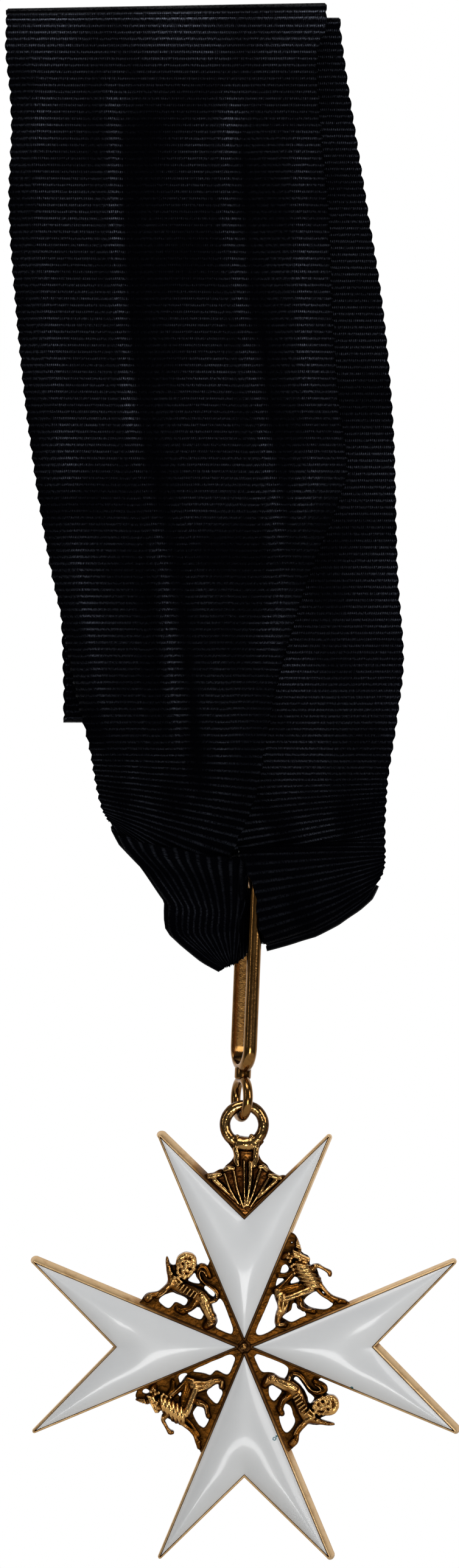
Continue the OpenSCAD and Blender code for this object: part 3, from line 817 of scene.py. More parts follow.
def armSides():
    # corners, and outward directions of the four edges, from the lower long side round to the upper one
    inner, tip, notch = Vector(arm["inner"]), Vector(arm["tip"]), Vector(arm["notch"])
    corners = [inner, Vector((tip.x, -tip.y)), notch, tip]
    normals = []
    for a, b in zip(corners, corners[1:] + corners[:1]):
        along = (b - a).normalized()
        normals.append(Vector((along.y, -along.x)))
    return corners, normals


def mitre(i, outs):
    # where two neighbouring edges meet once each is moved out by its own amount
    corners, normals = armSides()
    before, after = normals[i - 1], normals[i]
    both = before.dot(after)
    move = before * (outs[i - 1] - outs[i] * both) + after * (outs[i] - outs[i - 1] * both)
    return corners[i] + move / (1 - both * both)


def armLoop(bm, outs, high):
    # outline of an arm at this height, round at its points
    corners, normals = armSides()
    points = []
    for i, corner in enumerate(corners):
        if i == 2:
            points.append(mitre(i, outs))
            continue
        before, after = normals[i - 1], normals[i]
        turn = before.angle_signed(after)
        for step in range(arm["arcSteps"] + 1):
            share = step / arm["arcSteps"]
            spoke = Matrix.Rotation(-turn * share, 2) @ before
            points.append(corner + spoke * blend(outs[i - 1], outs[i], share))
    verts = [bm.verts.new((p.x, p.y, high)) for p in points]
    return [bm.edges.new((a, b)) for a, b in zip(verts, verts[1:] + verts[:1])]


def makeTrays():
    bm = bmesh.new()
    for turn in (0, 90, 180, 270):
        part = bmesh.new()
        lean = Matrix.Rotation(-math.radians(turn), 2) @ Vector(arm["lean"])
        feet = [max(0, normal.dot(lean)) for normal in armSides()[1]]
        rings = [
            armLoop(part, [out + share * foot for foot in feet], high) for out, share, high in arm["wall"]
        ]
        for a, b in zip(rings, rings[1:]):
            bmesh.ops.bridge_loops(part, edges=a + b)
        for edges in (rings[0], rings[-1]):
            bmesh.ops.contextual_create(part, geom=edges)
        turnAll(part, math.radians(turn), "Z")
        joinInto(bm, part)
    part = bmesh.new()
    bmesh.ops.create_cone(part, cap_ends=True, segments=hub["sides"], radius1=hub["back"],
                          radius2=hub["front"], depth=hub["deep"])
    shiftAll(part, (0, 0, hub["middle"]))
    joinInto(bm, part)
    toCross(bm)
    finishPiece(bm, "cross_trays", "pendant", plateGilt, "cross", arm["crispOver"])
    print("trays are made")


enamel = dict(
    gap=0.07,
    edgeHigh=1.80, ridgeHigh=2.95, footHigh=1.08,
    alongSteps=96, acrossSteps=72,
    finer=1.5,         # over 1, the grid is finer towards the tips
    rise=2.6,          # distance from the rim over which most of the pillow rises, mm
    power=2.0,         # low for round ridges, high for sharp ones
    crispOver=45,
)


def distanceTo(p, a, b):
    along = b - a
    t = max(0, min(1, (p - a).dot(along) / along.length_squared))
    return (p - a - along * t).length


def makeEnamels():
    corners = [mitre(i, [-enamel["gap"]] * 4) for i in range(4)]
    inner, low, notch, tip = corners
    sides = list(zip(corners, corners[1:] + corners[:1]))
    finer, power = enamel["finer"], enamel["power"]
    bm = bmesh.new()
    bmesh.ops.create_grid(bm, x_segments=enamel["alongSteps"], y_segments=enamel["acrossSteps"], size=1)
    for vert in bm.verts:
        # the grid fans out from the inner point to the notch
        far = notch.lerp(tip if vert.co.y > 0 else low, 1 - (1 - abs(vert.co.y)) ** finer)
        p = inner.lerp(far, 1 - ((1 - vert.co.x) / 2) ** finer)
        # low near any of the rims, highest between them
        near = sum(max(distanceTo(p, a, b), tiny) ** -power for a, b in sides) ** (-1 / power)
        vert.co = (p.x, p.y, enamel["edgeHigh"] + 1 - math.exp(-near / enamel["rise"]))
    bmesh.ops.remove_doubles(bm, verts=bm.verts[:], dist=tiny / 2)
    inside = [v for v in bm.verts if not v.is_boundary]
    crest = max(v.co.z for v in inside)
    for vert in inside:
        share = (vert.co.z - enamel["edgeHigh"]) / (crest - enamel["edgeHigh"])
        vert.co.z = blend(enamel["edgeHigh"], enamel["ridgeHigh"], share)
    # down to the tray's floor
    foot = set(vertsIn(bmesh.ops.extrude_edge_only(bm, edges=[e for e in bm.edges if e.is_boundary])))
    for vert in foot:
        vert.co.z = enamel["footHigh"]
    bmesh.ops.contextual_create(bm, geom=[e for e in bm.edges if e.verts[0] in foot and e.verts[1] in foot])
    for name, turn in (("top", 90), ("right", 0), ("bottom", -90), ("left", 180)):
        field = bm.copy()
        toCross(field, turn)
        finishPiece(field, "enamel_field_" + name, "pendant", enamelGlass, "enamel_" + name,
                    enamel["crispOver"])
    bm.free()
    print("enamels are made")


# cast relief: strokes with a round crest over a straight foot, fused with a pierced ground into one skin

cast = dict(
    voxel=0.085,
    smoothing=2,
    sides=9,                         # round a stroke
    fine=0.6,                        # strokes of a smaller radius get fewer rings, mm
    fineRings=(0, 32, 62), rings=(0, 22, 44, 64, 80),  # degrees up the dome
    domeShare=0.8,                   # most of a stroke's height that its dome takes
    strokeSteps=3, outlineSteps=4,
    groundHigh=1.3,
    unevenHigh=0.03, unevenWide=0.7,  # how far the casting wanders from the model, mm
    unevenFrom=0.3,                  # above the back, mm
    fineUneven=0.5, fineTimes=2.3,
    lift=0.06,                       # a hair above the trays' backs, which it runs under, mm
    # the two bars that a beast stands on and leans against, a part of every ground's outline
    bars=[
        (16.5, 6.65), (14, 5.55), (9, 3.45), (4, 1.35), (1.6, 0.35), (1, 0.4), (0.4, 1), (0.4, 1.6),
        (1.35, 4), (3.1, 8.2),
    ],
)


def domePoints(x, y, radius, crest):
    high = min(radius, cast["domeShare"] * crest)
    points = []
    for lift in cast["fineRings"] if radius < cast["fine"] else cast["rings"]:
        reach = radius * math.cos(math.radians(lift))
        level = crest - high + high * math.sin(math.radians(lift))
        for side in range(cast["sides"]):
            turn = 2 * math.pi * side / cast["sides"]
            spot = (x + reach * math.cos(turn), y + reach * math.sin(turn))
            points.append((*spot, level))
            if lift == 0:
                points.append((*spot, 0))
    points.append((x, y, crest))
    return points


def hullInto(bm, points):
    made = bmesh.ops.convex_hull(bm, input=[bm.verts.new(p) for p in points])
    unused = made["geom_interior"] + made["geom_unused"]
    loose = {g for g in unused if isinstance(g, bmesh.types.BMVert)}
    bmesh.ops.delete(bm, geom=list(loose), context="VERTS")


def strokesInto(bm, groups):
    # a stroke is a row of places: across, up, radius and crest height
    for rows in [rows for group in groups.values() for rows in group]:
        line = curveRows(rows, cast["strokeSteps"] if len(rows) > 2 else 1)
        for a, b in zip(line, line[1:] or line):
            hullInto(bm, domePoints(*a) + (domePoints(*b) if b is not a else []))


def roundLoop(points):
    # closed smooth curve through the points
    many = len(points)
    steps = cast["outlineSteps"]
    rows = curveRows([points[i % many] for i in range(-1, many + 2)], steps)
    return rows[steps:-steps - 1]


def groundInto(bm, outline, holes, high):
    # pierced plate: outline and openings as smooth curves, filled and raised
    part = bmesh.new()
    edges = []
    for loop in [roundLoop(outline)] + [roundLoop(hole) for hole in holes]:
        verts = [part.verts.new((x, y, 0)) for x, y in loop]
        edges += [part.edges.new((a, b)) for a, b in zip(verts, verts[1:] + verts[:1])]
    bmesh.ops.triangle_fill(part, use_beauty=True, edges=edges)
    made = bmesh.ops.extrude_face_region(part, geom=part.faces[:], use_keep_orig=True)
    bmesh.ops.translate(part, verts=vertsIn(made), vec=(0, 0, high))
    joinInto(bm, part)


def fuse(bm, voxel, seed):
    # one closed skin over all of it, a little uneven as castings are
    obj = linkMesh(bm, "fusing")
    remesh = obj.modifiers.new("skin", "REMESH")
    remesh.mode = "VOXEL"
    remesh.voxel_size = voxel
    done = obj.evaluated_get(bpy.context.evaluated_depsgraph_get())
    skin = bmesh.new()
    skin.from_mesh(done.to_mesh())
    done.to_mesh_clear()
    bpy.data.objects.remove(obj)
    for step in range(cast["smoothing"]):
        bmesh.ops.smooth_vert(skin, verts=skin.verts[:], factor=0.5, use_axis_x=True, use_axis_y=True,
                              use_axis_z=True)
    skin.normal_update()
    shift = Vector((seed, 0, 0))
    moves = []
    for vert in skin.verts:
        spot = vert.co / cast["unevenWide"] + shift
        high = noise.noise(spot) + cast["fineUneven"] * noise.noise(spot * cast["fineTimes"])
        moves.append(vert.normal * high * cast["unevenHigh"] if vert.co.z > cast["unevenFrom"] else None)
    for vert, move in zip(skin.verts, moves):
        if move:
            vert.co += move
    shiftAll(skin, (0, 0, cast["lift"]))
    return skin


lion = dict(
    trunk=[
        [(11.3, 9.9, 0.95, 2.1), (10.2, 9.45, 1.15, 2.3), (9, 8.95, 1.2, 2.3), (7.8, 8.45, 1.2, 2.3),
         (6.7, 7.9, 1.2, 2.3), (6.1, 7.3, 1.1, 2.35)],
    ],
    ribs=[
        [(10, 10.15, 0.19, 2.55), (10.6, 9.45, 0.19, 2.4)], [(9.5, 9.75, 0.2, 2.7), (10.1, 9, 0.2, 2.5)],
        [(9, 9.45, 0.2, 2.75), (9.6, 8.65, 0.2, 2.5)], [(8.5, 9.1, 0.2, 2.75), (9.05, 8.35, 0.2, 2.5)],
        [(7.95, 8.8, 0.2, 2.75), (8.5, 8.05, 0.2, 2.5)], [(7.45, 8.5, 0.19, 2.7), (7.95, 7.8, 0.19, 2.5)],
    ],
    hipAndBreast=[
        [(6.6, 8, 0.55, 2.6), (6.1, 7.2, 0.6, 2.65)], [(10.9, 10.7, 0.7, 2.35), (10.5, 10.1, 0.6, 2.35)],
    ],
    mane=[
        [(9.1, 13.3, 1.6, 2.5), (9.05, 12.5, 1.55, 2.6), (9.35, 11.6, 1.15, 2.5)],
        [(9.3, 14, 0.7, 2.55), (9.2, 13.2, 0.95, 2.7), (9.25, 12.3, 0.8, 2.8), (9.5, 11.6, 0.5, 2.7)],
        [(10.4, 12.9, 0.4, 2.5), (10.15, 13.8, 0.5, 2.7), (9.5, 14.3, 0.55, 2.8), (8.7, 14.35, 0.55, 2.8),
         (8.05, 14, 0.48, 2.75), (7.85, 13.4, 0.4, 2.7)],
        [(7.9, 12.95, 0.42, 2.95)], [(8, 12.3, 0.42, 3)], [(8.35, 11.75, 0.42, 3)],
        [(8.8, 11.25, 0.4, 2.95)], [(9.4, 10.95, 0.4, 2.9)], [(10.4, 12.4, 0.38, 2.75)],
        [(10.4, 11.75, 0.38, 2.75)], [(10.1, 11.2, 0.38, 2.8)], [(8.3, 14.2, 0.34, 3)],
        [(9.1, 14.5, 0.36, 2.95)],
    ],
    face=[
        [(10, 13.4, 0.34, 2.95), (9.6, 13.65, 0.28, 3.05)],
        [(8.95, 13.6, 0.28, 3.05), (8.45, 13.4, 0.36, 3)],
        [(9.3, 13.6, 0.24, 2.95), (9.25, 12.95, 0.3, 3.15), (9.25, 12.4, 0.38, 3.25)],
        [(9.9, 12.75, 0.36, 2.95)], [(8.6, 12.8, 0.36, 3.05)], [(9.65, 12.1, 0.36, 3.15)],
        [(8.95, 12.05, 0.36, 3.15)], [(9.55, 11.5, 0.44, 3)],
    ],
    shoulder=[
        [(10.6, 11, 0.15, 2.65), (9.75, 10.2, 0.15, 2.65)],
        [(11.1, 10.6, 0.75, 2.35), (11.5, 9.8, 0.7, 2.2)],
    ],
    raisedLeg=[
        [(11.4, 10.3, 0.62, 2.1), (11.6, 11.2, 0.5, 2.15), (11.8, 12, 0.44, 2.15), (12, 12.95, 0.35, 2.1),
         (12.1, 13.65, 0.27, 2.05), (12.15, 14.1, 0.15, 1.95)],
        [(11.45, 11.5, 0.36, 2.45)], [(12, 13, 0.2, 2.3)], [(12.1, 13.5, 0.17, 2.25)],
        [(10.95, 10.95, 0.34, 2.55)],
    ],
    foreleg=[
        [(11.9, 9.5, 0.55, 2.1), (12.7, 8.85, 0.46, 2), (13.5, 8.35, 0.42, 1.95), (14.3, 8.2, 0.42, 2),
         (14.9, 8.05, 0.45, 2.05), (15.4, 7.6, 0.42, 1.9)],
        [(12.2, 8.85, 0.12, 2.2), (13, 8.2, 0.12, 2.15), (13.8, 7.8, 0.12, 2.1)],
        [(14.7, 7.75, 0.35, 2.1), (15.2, 7.3, 0.3, 1.9)],
    ],
    nearHind=[
        [(6.3, 7.1, 1.1, 2.4), (5.95, 6.2, 0.98, 2.45), (5.55, 5.3, 0.85, 2.35), (5.15, 4.55, 0.88, 2.25),
         (5.35, 3.8, 0.86, 2.1), (5.9, 3.3, 0.7, 1.8)],
        [(4.8, 4.5, 0.36, 2.45)], [(6.15, 6.8, 0.2, 2.7), (5.85, 6.1, 0.2, 2.7), (5.45, 5.2, 0.18, 2.55)],
        [(5, 3.7, 0.24, 2.3), (5.6, 3.4, 0.24, 2.2)],
    ],
    farHind=[
        [(7.6, 7.2, 0.85, 2), (8.2, 6.4, 0.62, 1.95), (9, 5.85, 0.55, 1.9), (9.9, 5.65, 0.5, 1.85)],
        [(9.2, 5.75, 0.13, 2.15), (8.4, 6, 0.13, 2.15), (8, 6.45, 0.13, 2.15)],
        [(9.6, 5.5, 0.55, 1.7), (10.5, 5.9, 0.5, 1.65)],
    ],
    tail=[
        [(5.3, 7.1, 0.4, 1.9), (4.5, 7.4, 0.36, 1.85), (4.2, 8.1, 0.34, 1.8), (4.5, 8.85, 0.34, 1.8),
         (5.4, 9.55, 0.3, 1.8), (6.3, 10.1, 0.3, 1.8), (7, 10.8, 0.32, 1.85), (7.3, 11.5, 0.38, 1.9),
         (7.2, 12.3, 0.46, 1.95), (6.7, 12.7, 0.48, 1.95), (6.15, 12.45, 0.48, 1.9),
         (5.75, 11.75, 0.44, 1.85), (5.4, 11.1, 0.36, 1.8)],
        [(4.3, 7.7, 0.12, 2.1), (4.4, 8.4, 0.12, 2.1), (5.1, 9.2, 0.12, 2.1), (6.1, 9.9, 0.12, 2.1),
         (6.8, 10.6, 0.12, 2.1), (7.05, 11.3, 0.12, 2.15), (6.95, 11.9, 0.12, 2.2), (6.55, 11.95, 0.12, 2.2),
         (6.2, 11.6, 0.12, 2.15), (5.9, 11.1, 0.12, 2.1)],
        [(5.3, 7, 0.22, 2.4), (4.7, 7.2, 0.2, 2.2)],
    ],
)
lionUpperGround = dict(
    outline=[
        (5.35, 13.6), (5.75, 12.8), (6.4, 13.05), (7, 13), (7.35, 12.7), (7.5, 13.5), (7.75, 14.2),
        (8.3, 14.75), (9.3, 14.9), (9.85, 14.6), (10.2, 13.9), (10.5, 13.25), (11, 12.9), (11.5, 13),
        (11.85, 13.5), (12.1, 13.6), (12.15, 12.4), (11.95, 11.3), (11.95, 10.3), (12.35, 9.6), (13.2, 9),
        (14, 8.6), (14.9, 8.55), (15.6, 8.2), (16.2, 7.3),
    ],
    last=[(4.9, 12.5)],
    holes=[
        [(13.4, 7.4), (12.6, 8.1), (11.4, 8.55), (10.6, 8.3), (9.2, 7.7), (8.9, 7.2), (9.4, 6.5),
         (10.2, 6.85), (10.9, 7), (11.5, 6.3), (12.1, 6.1), (13.1, 6.8)],
        [(8.85, 5.35), (8, 6), (7.3, 6.25), (6.6, 5.8), (6.35, 5.3), (6.7, 4.45), (7.2, 4.35), (8.4, 4.85)],
        [(5.2, 6.3), (5, 6.8), (4.4, 7), (3.85, 7.6), (3.4, 7.15), (3, 6.25), (2.6, 5.2), (2.15, 4),
         (1.8, 2.85), (1.95, 2.1), (2.5, 2.1), (3.9, 2.7), (4.45, 3.1), (4.4, 3.5), (4.2, 4), (4.3, 4.6),
         (4.65, 5.2), (5.05, 5.75)],
        [(6.3, 9.4), (6, 9.65), (5.65, 9.45), (4.75, 8.6), (4.65, 8.15), (4.95, 7.9), (5.85, 8.6), (6.2, 9)],
        [(8.85, 10.6), (8.45, 11.2), (8.1, 11.6), (7.7, 11.5), (7.55, 11), (6.95, 10), (7.95, 10.05),
         (8.6, 10.3)],
    ],
)
lionLowerGround = dict(
    outline=[
        (4.7, 12.2), (5.3, 11.5), (5.65, 11.65), (6.1, 12.3), (6.6, 12.9), (7.2, 12.8), (7.5, 13.4),
        (8.1, 14.2), (9, 14.6), (9.85, 14.4), (10.4, 13.6), (10.8, 12.9), (11.1, 12.2), (11.4, 11.8),
        (11.7, 12.1), (11.95, 12.8), (12.2, 12.6), (12.3, 11.2), (12.15, 9.9), (12.5, 9.1), (13, 8.5),
        (13.8, 8.1), (14.7, 8), (15.6, 7.9), (16.2, 7.3),
    ],
    last=[(4.3, 11.2)],
    holes=[
        [(1.55, 1.6), (1.2, 1.9), (1.25, 2.45), (1.75, 3.8), (2.35, 5.3), (2.9, 6.45), (3.4, 6.9),
         (4.2, 6.8), (4.9, 6.4), (5, 5.95), (4.6, 5.3), (4.15, 4.65), (4, 3.8), (4, 3), (3.6, 2.5),
         (2.7, 2.05)],
        [(5.4, 4.4), (6.3, 5.3), (7, 5.85), (7.5, 5.6), (7.95, 5.3), (8.5, 4.75), (8.25, 4.3), (7.65, 3.95),
         (6.9, 3.85), (6.15, 3.95), (5.65, 4.1)],
        [(9, 6.45), (9.15, 7.05), (9.75, 7.45), (10.6, 7.65), (11.4, 7.95), (12.1, 7.9), (13, 7.35),
         (13.5, 6.75), (13.25, 6.25), (12.3, 5.8), (11.1, 5.5), (10.2, 5.55), (9.35, 5.95)],
        [(5, 7.8), (4.7, 8.1), (5, 8.6), (5.85, 9.2), (6.45, 9.6), (7.1, 10), (7.55, 10.6), (8, 11),
         (8.5, 10.8), (8.9, 10.4), (8.6, 10.1), (7.9, 9.95), (6.9, 9.5), (6.3, 9), (5.85, 8.4), (5.4, 7.9)],
    ],
)

unicorn = dict(
    trunk=[
        [(5.8, 8.4, 0.9, 1.85), (6.9, 8.7, 1, 1.85), (8, 9, 1.05, 1.9), (9.2, 9.4, 1, 2)],
        [(5.1, 8.9, 0.5, 2.05), (6, 9.15, 0.5, 1.95), (7.2, 9.4, 0.5, 1.9), (8.4, 9.65, 0.5, 1.95)],
        [(6.1, 7.5, 0.5, 2.6), (7, 7.75, 0.5, 2.75), (7.9, 8.1, 0.5, 2.85), (8.8, 8.45, 0.52, 2.85),
         (9.7, 8.85, 0.55, 2.85), (10.6, 9.2, 0.55, 2.7)],
        [(6.7, 7.45, 0.14, 2.7), (7.6, 7.8, 0.14, 2.85), (8.6, 8.15, 0.15, 2.95), (9.6, 8.55, 0.15, 2.95),
         (10.5, 8.85, 0.15, 2.75)],
        [(10.3, 9.7, 1.15, 2.25), (11, 10.5, 1.1, 2.25)],
    ],
    neckAndLocks=[
        [(8.3, 13.1, 0.9, 2.4), (9, 12.2, 1.25, 2.5), (9.9, 11.3, 1.5, 2.5), (10.6, 10.4, 1.4, 2.5)],
        [(7.75, 13.15, 0.3, 2.2), (8.7, 12.9, 0.36, 2.95), (9.5, 12.75, 0.36, 2.9),
         (10.35, 12.55, 0.3, 1.9)],
        [(7.75, 12.55, 0.3, 2.1), (8.9, 12.3, 0.38, 2.95), (9.8, 12.15, 0.38, 2.95),
         (10.95, 11.9, 0.32, 1.9)],
        [(8.1, 11.9, 0.3, 2.1), (9.2, 11.7, 0.38, 2.95), (10.2, 11.55, 0.38, 3), (11.45, 11.25, 0.32, 1.9)],
        [(8.55, 11.2, 0.3, 2.1), (9.7, 11.05, 0.38, 2.9), (10.6, 10.95, 0.4, 3), (11.8, 10.7, 0.32, 1.9)],
        [(9, 10.5, 0.3, 2.1), (10.2, 10.4, 0.38, 2.9), (11, 10.3, 0.38, 2.95), (12, 10.05, 0.3, 1.9)],
        [(9.5, 9.85, 0.3, 2.2), (10.5, 9.75, 0.38, 2.85), (11.2, 9.65, 0.38, 2.85), (12.1, 9.4, 0.3, 1.9)],
    ],
    head=[
        [(8.1, 14.5, 0.62, 2.7), (8.9, 14.15, 0.55, 2.75), (9.7, 13.8, 0.45, 2.65), (10, 13.65, 0.38, 2.55)],
        [(8.7, 13.6, 0.5, 2.5), (9.7, 13.3, 0.34, 2.5)],
        [(7.85, 15.05, 0.16, 2.8), (8.5, 14.8, 0.17, 3), (9.1, 14.45, 0.16, 3.05), (9.7, 14.15, 0.15, 2.95),
         (10.2, 13.9, 0.16, 2.8)],
        [(10.05, 13.65, 0.2, 2.9)], [(8.75, 13.75, 0.36, 2.95)],
        [(7.75, 15.2, 0.2, 2.6), (7.9, 14.7, 0.26, 2.85)],
    ],
    horn=[
        [(8.6, 15.2, 0.42, 2.4), (8.5, 15.8, 0.32, 2.3), (8.4, 16.4, 0.24, 2.15), (8.3, 17, 0.12, 1.95)],
        [(8.85, 15.5, 0.13, 2.6), (8.25, 15.75, 0.13, 2.55)],
        [(8.75, 15.95, 0.12, 2.45), (8.2, 16.15, 0.12, 2.4)],
        [(8.6, 16.35, 0.1, 2.3), (8.15, 16.5, 0.1, 2.25)],
    ],
    mane=[
        [(7.4, 14.3, 0.72, 2.35), (6.7, 14.3, 0.6, 2.1), (6.2, 14.1, 0.5, 1.7)], [(7.05, 14.65, 0.28, 2.6)],
        [(6.85, 14.05, 0.28, 2.5)], [(7.4, 14, 0.3, 2.75)], [(7.2, 13.45, 0.3, 2.65)],
        [(7.75, 13, 0.28, 2.7)], [(7.4, 12.7, 0.28, 2.6)], [(7.75, 12.2, 0.3, 2.65)],
        [(7.9, 11.6, 0.28, 2.5)],
    ],
    raisedLeg=[
        [(10.5, 12, 0.6, 2.3), (11, 12.6, 0.46, 2.2), (11.6, 12.75, 0.33, 2.1), (12.2, 12.45, 0.26, 2.05),
         (12.85, 12.1, 0.27, 2), (13.4, 11.7, 0.4, 2), (13.45, 11.35, 0.35, 1.95)],
        [(11.1, 12.75, 0.28, 2.4)],
    ],
    foreleg=[
        [(11.8, 9.9, 0.45, 2.2), (12.4, 9.2, 0.34, 2.1), (13.1, 8.4, 0.3, 2), (14, 7.75, 0.3, 2),
         (15, 7.35, 0.36, 1.9), (15.8, 7.1, 0.35, 1.7)],
        [(11.4, 9.1, 0.32, 2.1), (12.1, 8.35, 0.26, 1.95), (13, 7.75, 0.26, 1.9), (13.9, 7.2, 0.34, 1.8)],
        [(14.9, 7.2, 0.4, 2)],
    ],
    nearHind=[
        [(5.9, 7.9, 1.1, 2.45), (6.1, 6.9, 0.98, 2.45), (5.95, 5.9, 0.78, 2.35), (5.5, 5, 0.62, 2.15),
         (5.3, 4.2, 0.55, 2.05), (5.5, 3.6, 0.5, 2), (6.3, 3.55, 0.5, 1.95)],
        [(5.5, 8, 0.2, 2.55), (5.45, 6.9, 0.2, 2.5), (5.5, 6, 0.18, 2.4), (5.2, 5.1, 0.16, 2.25)],
        [(6.9, 7.4, 0.24, 2.45), (6.65, 6.6, 0.24, 2.45), (6.3, 5.8, 0.2, 2.35)],
        [(6.2, 7.6, 0.2, 2.75), (6.1, 6.8, 0.2, 2.7), (6, 6.1, 0.18, 2.55)],
        [(5.2, 8.7, 0.55, 2.2), (5.5, 8, 0.65, 2.35)], [(5.5, 3.5, 0.3, 2.25), (6.2, 3.6, 0.3, 2.15)],
    ],
    farHind=[
        [(8.6, 7.5, 0.75, 2), (8.9, 6.7, 0.6, 2), (9.3, 6.05, 0.5, 1.95), (10.1, 5.85, 0.42, 1.9),
         (10.9, 5.6, 0.45, 1.8)],
        [(8.8, 7, 0.14, 2.3), (9, 6.4, 0.13, 2.25), (9.7, 6, 0.12, 2.15), (10.5, 5.9, 0.12, 2.1)],
    ],
    tail=[
        [(5, 8.8, 0.6, 1.8), (5.9, 9.5, 0.55, 1.75), (6.7, 10.3, 0.5, 1.8), (7.2, 11, 0.5, 1.95),
         (7.8, 11.7, 0.55, 2.1)],
        [(5.2, 9.2, 0.16, 2), (6.1, 9.9, 0.16, 2.05), (6.9, 10.8, 0.16, 2.1), (7.6, 11.6, 0.16, 2.2)],
        [(5.5, 11.2, 0.45, 1.6), (6.3, 11.2, 0.42, 1.65), (7.1, 11.45, 0.45, 1.8), (7.8, 11.9, 0.5, 2.05)],
    ],
)
unicornUpperGround = dict(
    outline=[
        (6.9, 17.7), (7.6, 17.9), (8.2, 17.4), (8.5, 16.6), (8.75, 15.4), (9.3, 14.7), (10, 14.35),
        (10.35, 13.8), (10.3, 13.2), (10.5, 12.8), (11.3, 12.5), (11.6, 11.8), (11.75, 11.3), (12.1, 10.6),
        (12.25, 9.75), (12.7, 8.9), (13.4, 8.25), (14.2, 7.7), (15.3, 7.5), (16.2, 7.2),
    ],
    last=[(4.9, 12.5), (6.3, 16.1)],
    holes=[
        [(4.4, 8.25), (4.65, 8.2), (4.9, 7.35), (5.3, 6.2), (5.1, 5.15), (4.8, 4.4), (4.75, 3.8), (4.9, 3.1),
         (4, 2.4), (2.9, 1.9), (2.2, 1.85), (1.85, 2.25), (2, 2.9), (2.45, 3.95), (3.05, 5.3), (3.65, 6.7),
         (4.1, 7.8)],
        [(7.9, 6.9), (8.2, 6.7), (8.3, 6.25), (8.55, 5.9), (9.3, 5.65), (9.7, 5.2), (9.6, 4.85),
         (8.85, 4.55), (7.8, 4), (7.2, 3.95), (6.5, 4.3), (6.05, 4.6), (6.15, 4.9), (6.75, 5.35),
         (7.35, 5.75), (7.5, 6.25), (7.6, 6.75)],
        [(9.4, 7.2), (9.75, 7.8), (10.5, 8.35), (11.2, 8.7), (11.8, 8.35), (12.6, 7.9), (13.3, 7.5),
         (13.9, 6.85), (13.75, 6.4), (13, 5.95), (12.1, 5.9), (10.9, 6.1), (9.95, 6.5)],
        [(11.6, 9.2), (12, 9), (12.9, 8.3), (13, 8.05), (12.4, 8.2), (11.7, 8.85)],
        [(6.4, 12.95), (6.75, 12.8), (7, 12.3), (6.8, 11.85), (6.3, 11.55), (5.85, 11.35), (5.7, 11.6),
         (5.8, 12.2), (6, 12.7)],
        [(5.7, 11), (6.4, 10.35), (6.35, 10), (5.85, 9.45), (5.25, 9), (4.85, 8.9), (4.9, 9.45),
         (5.1, 10.35), (5.35, 10.85)],
        [(8, 11), (8.4, 10.8), (8.7, 10.2), (8.6, 9.75), (8.1, 9.6), (7.5, 9.7), (7.3, 10), (7.35, 10.5),
         (7.7, 10.95)],
        [(7.35, 16.1), (7.55, 16.3), (7.65, 16.6), (7.45, 16.55)],
    ],
)
unicornLowerGround = dict(
    outline=[
        (6.4, 16.6), (7, 16.9), (7.8, 17.1), (8.3, 16.7), (8.6, 16), (8.75, 15.2), (9.2, 14.6), (9.9, 14.2),
        (10.25, 13.6), (9.9, 12.9), (10.4, 12.4), (11.1, 12), (11.5, 11.2), (11.75, 10.4), (11.9, 9.7),
        (12.2, 9), (12.6, 8.3), (13.1, 7.75), (13.8, 7.4), (14.6, 7.2), (15.7, 7.15), (16.3, 7),
    ],
    last=[(4.9, 12.5), (6, 15.4)],
    holes=[
        [(3.9, 8), (3.4, 7.5), (2.95, 6.45), (2.3, 5), (1.7, 3.5), (1.3, 2.6), (1.3, 1.9), (1.7, 1.5),
         (2.3, 1.55), (3.2, 1.9), (3.9, 2.2), (4.3, 2.5), (4.35, 2.9), (4.1, 3.5), (3.75, 4.1), (3.8, 4.6),
         (4.2, 5), (4.45, 5.4), (4.2, 6.15), (4.05, 7)],
        [(7.05, 5.85), (6.6, 5.5), (6, 5.1), (5.5, 4.75), (5.4, 4.35), (5.65, 4.1), (6.2, 3.85), (6.9, 3.5),
         (7.4, 3.45), (8.2, 3.8), (8.85, 4.15), (8.9, 4.5), (8.5, 5), (7.95, 5.5), (7.45, 5.8)],
        [(10.35, 8.05), (9.65, 7.65), (9.05, 7.05), (8.85, 6.45), (9, 5.95), (9.6, 5.7), (10.5, 5.5),
         (11.4, 5.55), (12.1, 5.85), (12.7, 6.3), (12.6, 6.7), (12.2, 7.2), (11.5, 7.65), (10.85, 7.95)],
        [(4.8, 10.35), (4.4, 10.05), (4.15, 9.5), (4.2, 9), (4.55, 9), (5.1, 9.25), (5.7, 9.5), (6.1, 9.85),
         (5.95, 10.15), (5.4, 10.2)],
        [(7.3, 10.4), (6.75, 10.1), (6.4, 9.7), (6.35, 9.3), (6.7, 9.15), (7.35, 9.3), (7.8, 9.6),
         (7.9, 9.95), (7.65, 10.3)],
        [(6.6, 15.5), (6.85, 15), (7.2, 15), (7.35, 15.5), (7.15, 16), (6.8, 15.9)],
    ],
)


